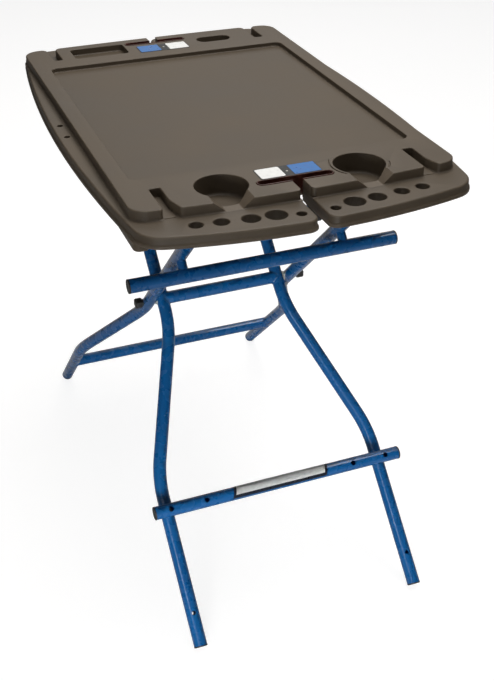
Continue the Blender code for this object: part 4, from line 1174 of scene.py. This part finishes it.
def bandMesh(half, start, end, lift):
    # a strip of the bar's own round, between two angles from its front, with slanting ends
    plan = bandPlan
    radius = tubePlan["radius"] + lift
    rows = []
    bm = bmesh.new()
    for turn in evenSteps(start, end, plan["steps"]):
        angle = math.radians(turn)
        shift = plan["slant"] * ((turn - plan["low"]) / (plan["high"] - plan["low"]) - 0.5)
        rows.append([bm.verts.new((x + shift, radius * math.sin(angle), radius * math.cos(angle)))
                     for x in (-half, half)])
    for first, second in zip(rows, rows[1:]):
        bm.faces.new((first[0], first[1], second[1], second[0]))
    bmesh.ops.solidify(bm, geom=bm.faces[:], thickness=-plan["thickness"])
    return meshFrom(bm)


bandPlace = innerPlace @ Matrix.Translation((0, barPlan["lowerAt"], barPlan["offset"]))
bandGround = bandMesh(bandPlan["half"], bandPlan["low"], bandPlan["high"], bandPlan["lift"])
bandStripe = bandMesh(bandPlan["half"] - bandPlan["margin"], *bandPlan["stripe"],
                      bandPlan["lift"] * 2)
finishPiece("bandGround", bandGround, "inner_frame", "blue_paint", (), bandPlace, 60,
            look="dark_vinyl")
finishPiece("bandStripe", bandStripe, "inner_frame", "blue_paint", (), bandPlace, 60,
            look="white_vinyl")


# pivot knobs

knobPlan = {
    "diameter": 0.026, "length": 0.019, "neck": 0.0035, "neckDiameter": 0.017, "lobes": 6,
    "lobe": 0.0018, "lobeShape": 0.7, "steps": 96, "gap": 0.0003,
    # how far a ring is drawn in, its height from the neck or the end, its share of the lobes
    "neckRings": ((0, 0, 0), (0.0012, 0.0002, 1), (0, 0.0015, 1)),
    "endRings": ((0, -0.005, 1), (0.0006, -0.0028, 1), (0.0018, -0.0011, 1),
                 (0.0036, -0.0002, 1), (0.0060, 0, 0.6)),
    "dishShare": 0.55, "dish": 0.0008, "hole": 0.0043, "holeFrom": -0.002, "holeDepth": 0.0133,
}


def knobMesh(side):
    plan = knobPlan
    neck = plan["neckDiameter"] / 2
    lobed = []
    for step in range(plan["steps"]):
        angle = 2 * math.pi * step / plan["steps"]
        wave = 0.5 - 0.5 * math.cos(plan["lobes"] * angle)
        lobed.append((angle, plan["diameter"] / 2 - plan["lobe"] * wave ** plan["lobeShape"]))
    levels = [(0, 0, 0)]
    levels += [(shrink, plan["neck"] + rise, share) for shrink, rise, share in plan["neckRings"]]
    levels += [(shrink, plan["length"] + rise, share) for shrink, rise, share in plan["endRings"]]
    rings = []
    for shrink, z, share in levels:
        sizes = [(angle, neck + (radius - neck) * share - shrink) for angle, radius in lobed]
        rings.append([(size * math.cos(angle), size * math.sin(angle), z) for angle, size in sizes])
    rings.append([(x * plan["dishShare"], y * plan["dishShare"], plan["length"] - plan["dish"])
                  for x, y, _ in rings[-1]])
    hole = rodAlong("Z", plan["hole"], plan["holeFrom"], plan["holeDepth"])
    return turnMesh(cutMesh(loftRings(rings), hole), side * 90, "Y")


knobBase = outerTop + tubePlan["radius"] + knobPlan["gap"]
for knobSide, knobLabel in sides:
    knob = moveMesh(knobMesh(knobSide), knobSide * knobBase)
    finishPiece("pivotKnob" + knobLabel.capitalize(), knob, knobLabel + "_knob", "black_plastic",
                ["pivot_knob_" + knobLabel], Matrix.Translation(pivotAt), 45)
print("pivot built")


# screws under the deck, with cross recesses

screwPlan = {
    "head": 0.0045, "headHeight": 0.0026, "headEdge": 0.0020, "recess": 0.0011,
    "recessReach": 0.0027, "recessDepth": 0.0013, "recessPast": 0.001, "recessTurns": (20, 110),
    "headCurve": ((0.0006, 0), (0.0026, 0.00025), (0.0038, 0.0009)),
    "shank": 0.0021, "root": 0.78, "turns": 9, "tip": 0.0006,
    # where the root, crest and next root of a ring lie, in pitches
    "ring": (0.2, 0.35, 0.7),
}


def screwMesh(node):
    low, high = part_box(node)
    plan = screwPlan
    centre = (low + high) / 2
    shank = plan["shank"]
    root = shank * plan["root"]
    start = low.z + plan["headHeight"]
    profile = [(radius, low.z + rise) for radius, rise in plan["headCurve"]]
    profile += [(plan["head"], low.z + plan["headEdge"]), (plan["head"], start), (shank, start)]
    pitch = (high.z - start) / (plan["turns"] + 1)
    offset, crest, end = plan["ring"]
    for turn in range(plan["turns"]):
        z = start + pitch * (turn + offset)
        profile += [(root, z), (shank, z + pitch * crest), (root, z + pitch * end)]
    profile.append((plan["tip"], high.z))
    reach = plan["recessReach"]
    half = plan["recess"] / 2
    arms = [turnMesh(boxMesh((-reach, -half, low.z - plan["recessPast"]),
                             (reach, half, low.z + plan["recessDepth"])), degrees, "Z")
            for degrees in plan["recessTurns"]]
    return moveMesh(cutMesh(turnProfile(profile, 24), *arms), centre.x, centre.y)


for nodeName in sorted(frame["nodes"]):
    if "_screw_" in nodeName:
        kind, _, side, end = nodeName.split("_")
        finishPiece(kind + "Screw" + side.capitalize() + end.capitalize(), screwMesh(nodeName),
                    "deck_top", "zinc_steel", [nodeName], None, 40)
print("screws built")


# CAD nodes that keep their own shape get a finish and softened edges

keptFinishes = {
    "zinc_steel": ("hinge_bracket", "bolt", "nut", "pivot_insert", "pivot_stud"),
    "black_plastic": ("latch_hook",),
    "nylon": ("pivot_washer",),
}
keptEdge = 0.0005


def dressNode(node, item):
    for finish, words in keptFinishes.items():
        if any(word in node for word in words):
            item.data.materials.clear()
            item.data.materials.append(materials[finish])
            roundEdges(item, keptEdge, 45)
            return True
    return False


kept = [node for node, item in sorted(frame["nodes"].items())
        if not item.hide_render and dressNode(node, item)]
print("nodes kept with new finishes:", len(kept))


# floor, light and camera

def showToCamera(tree, outputKind, hidden, shown):
    # the camera, also through glass, sees one shader; the light bounces off the other
    output = addNode(tree, outputKind)
    rays = addNode(tree, "ShaderNodeLightPath")
    seen = addNode(tree, "ShaderNodeMath", operation="MAXIMUM")
    mix = addNode(tree, "ShaderNodeMixShader")
    tree.links.new(rays.outputs["Is Camera Ray"], seen.inputs[0])
    tree.links.new(rays.outputs["Is Transmission Ray"], seen.inputs[1])
    tree.links.new(seen.outputs[0], mix.inputs[0])
    tree.links.new(hidden.outputs[0], mix.inputs[1])
    tree.links.new(shown.outputs[0], mix.inputs[2])
    tree.links.new(mix.outputs[0], output.inputs["Surface"])


floorPlan = {"reach": 14, "z": -0.0004, "bounce": (0.62, 0.61, 0.60, 1),
             "shadow": (0.34, 0.33, 0.325, 1), "glow": 0.85}


def floorMaterial():
    plan = floorPlan
    material = bpy.data.materials.new("pale_floor")
    material.use_nodes = True
    tree = material.node_tree
    tree.nodes.clear()
    plain = addNode(tree, "ShaderNodeBsdfDiffuse", Color=plan["bounce"])
    shadowed = addNode(tree, "ShaderNodeBsdfDiffuse", Color=plan["shadow"])
    glow = addNode(tree, "ShaderNodeEmission", Color=(1, 1, 1, 1), Strength=plan["glow"])
    bright = addNode(tree, "ShaderNodeAddShader")
    tree.links.new(shadowed.outputs[0], bright.inputs[0])
    tree.links.new(glow.outputs[0], bright.inputs[1])
    showToCamera(tree, "ShaderNodeOutputMaterial", plain, bright)
    return material


def buildFloor():
    reach = floorPlan["reach"]
    bm = bmesh.new()
    bm.faces.new([bm.verts.new((x * reach, y * reach, floorPlan["z"]))
                  for x, y in ((-1, -1), (1, -1), (1, 1), (-1, 1))])
    mesh = meshFrom(bm, "floor")
    mesh.materials.append(floorMaterial())
    addObject("floor", mesh)


roomPlan = {"colour": (0.98, 0.99, 1.0, 1), "strength": 0.07}


def buildWorld():
    world = bpy.data.worlds.new("studio")
    bpy.context.scene.world = world
    world.use_nodes = True
    tree = world.node_tree
    tree.nodes.clear()
    room = addNode(tree, "ShaderNodeBackground", Color=roomPlan["colour"],
                   Strength=roomPlan["strength"])
    white = addNode(tree, "ShaderNodeBackground", Color=(1, 1, 1, 1), Strength=1.0)
    showToCamera(tree, "ShaderNodeOutputWorld", room, white)


warmLight = (1.0, 0.985, 0.96)
coolLight = (0.98, 0.99, 1.0)
lampPlan = (
    # name, place, what it points at, size, watts, colour, spread in degrees
    ("keyLamp", (0.5, 0.1, 3.4), (0, 0, 0.75), 2.0, 71, warmLight, 180),
    ("rearLamp", (1.1, 3.4, 3.0), (0, 0, 0.75), 2.6, 20, warmLight, 180),
    ("fillLamp", (-1.9, -2.8, 0.8), (0, 0, 0.75), 1.5, 5, coolLight, 180),
    ("streakLamp", (-2.3, -2.2, 2.1), (0, -0.3, 0.4), 0.5, 1.8, coolLight, 100),
    ("legLamp", (-1.2, -2.9, 0.55), (0.05, -0.2, 0.1), 0.8, 5.6, coolLight, 38),
)


def buildLamps():
    for name, place, target, size, power, colour, spread in lampPlan:
        light = bpy.data.lights.new(name, "AREA")
        light.energy = power
        light.size = size
        light.color = colour
        light.spread = math.radians(spread)
        lamp = addObject(name, light)
        lamp.location = place
        lamp.rotation_euler = (Vector(target) - Vector(place)).to_track_quat("-Z", "Y").to_euler()


cameraPlan = {"place": (-0.71344, -2.05056, 1.7631), "azimuth": 20.78, "pitch": 32.384,
              "roll": -0.316, "focalPixels": 1077.42, "imageWidth": 494, "sensor": 36.0}


def buildCamera():
    plan = cameraPlan
    azimuth = math.radians(plan["azimuth"])
    pitch = math.radians(plan["pitch"])
    forward = Vector((math.sin(azimuth) * math.cos(pitch), math.cos(azimuth) * math.cos(pitch),
                      -math.sin(pitch)))
    data = bpy.data.cameras.new("camera")
    data.sensor_fit = "HORIZONTAL"
    data.sensor_width = plan["sensor"]
    data.lens = plan["focalPixels"] / plan["imageWidth"] * plan["sensor"]
    camera = addObject("camera", data)
    turn = forward.to_track_quat("-Z", "Y").to_matrix().to_4x4()
    roll = Matrix.Rotation(math.radians(plan["roll"]), 4, "Z")
    camera.matrix_world = Matrix.Translation(plan["place"]) @ turn @ roll
    bpy.context.scene.camera = camera


buildFloor()
buildWorld()
buildLamps()
buildCamera()
bpy.context.scene.view_settings.view_transform = "Standard"
print("floor, light and camera set")
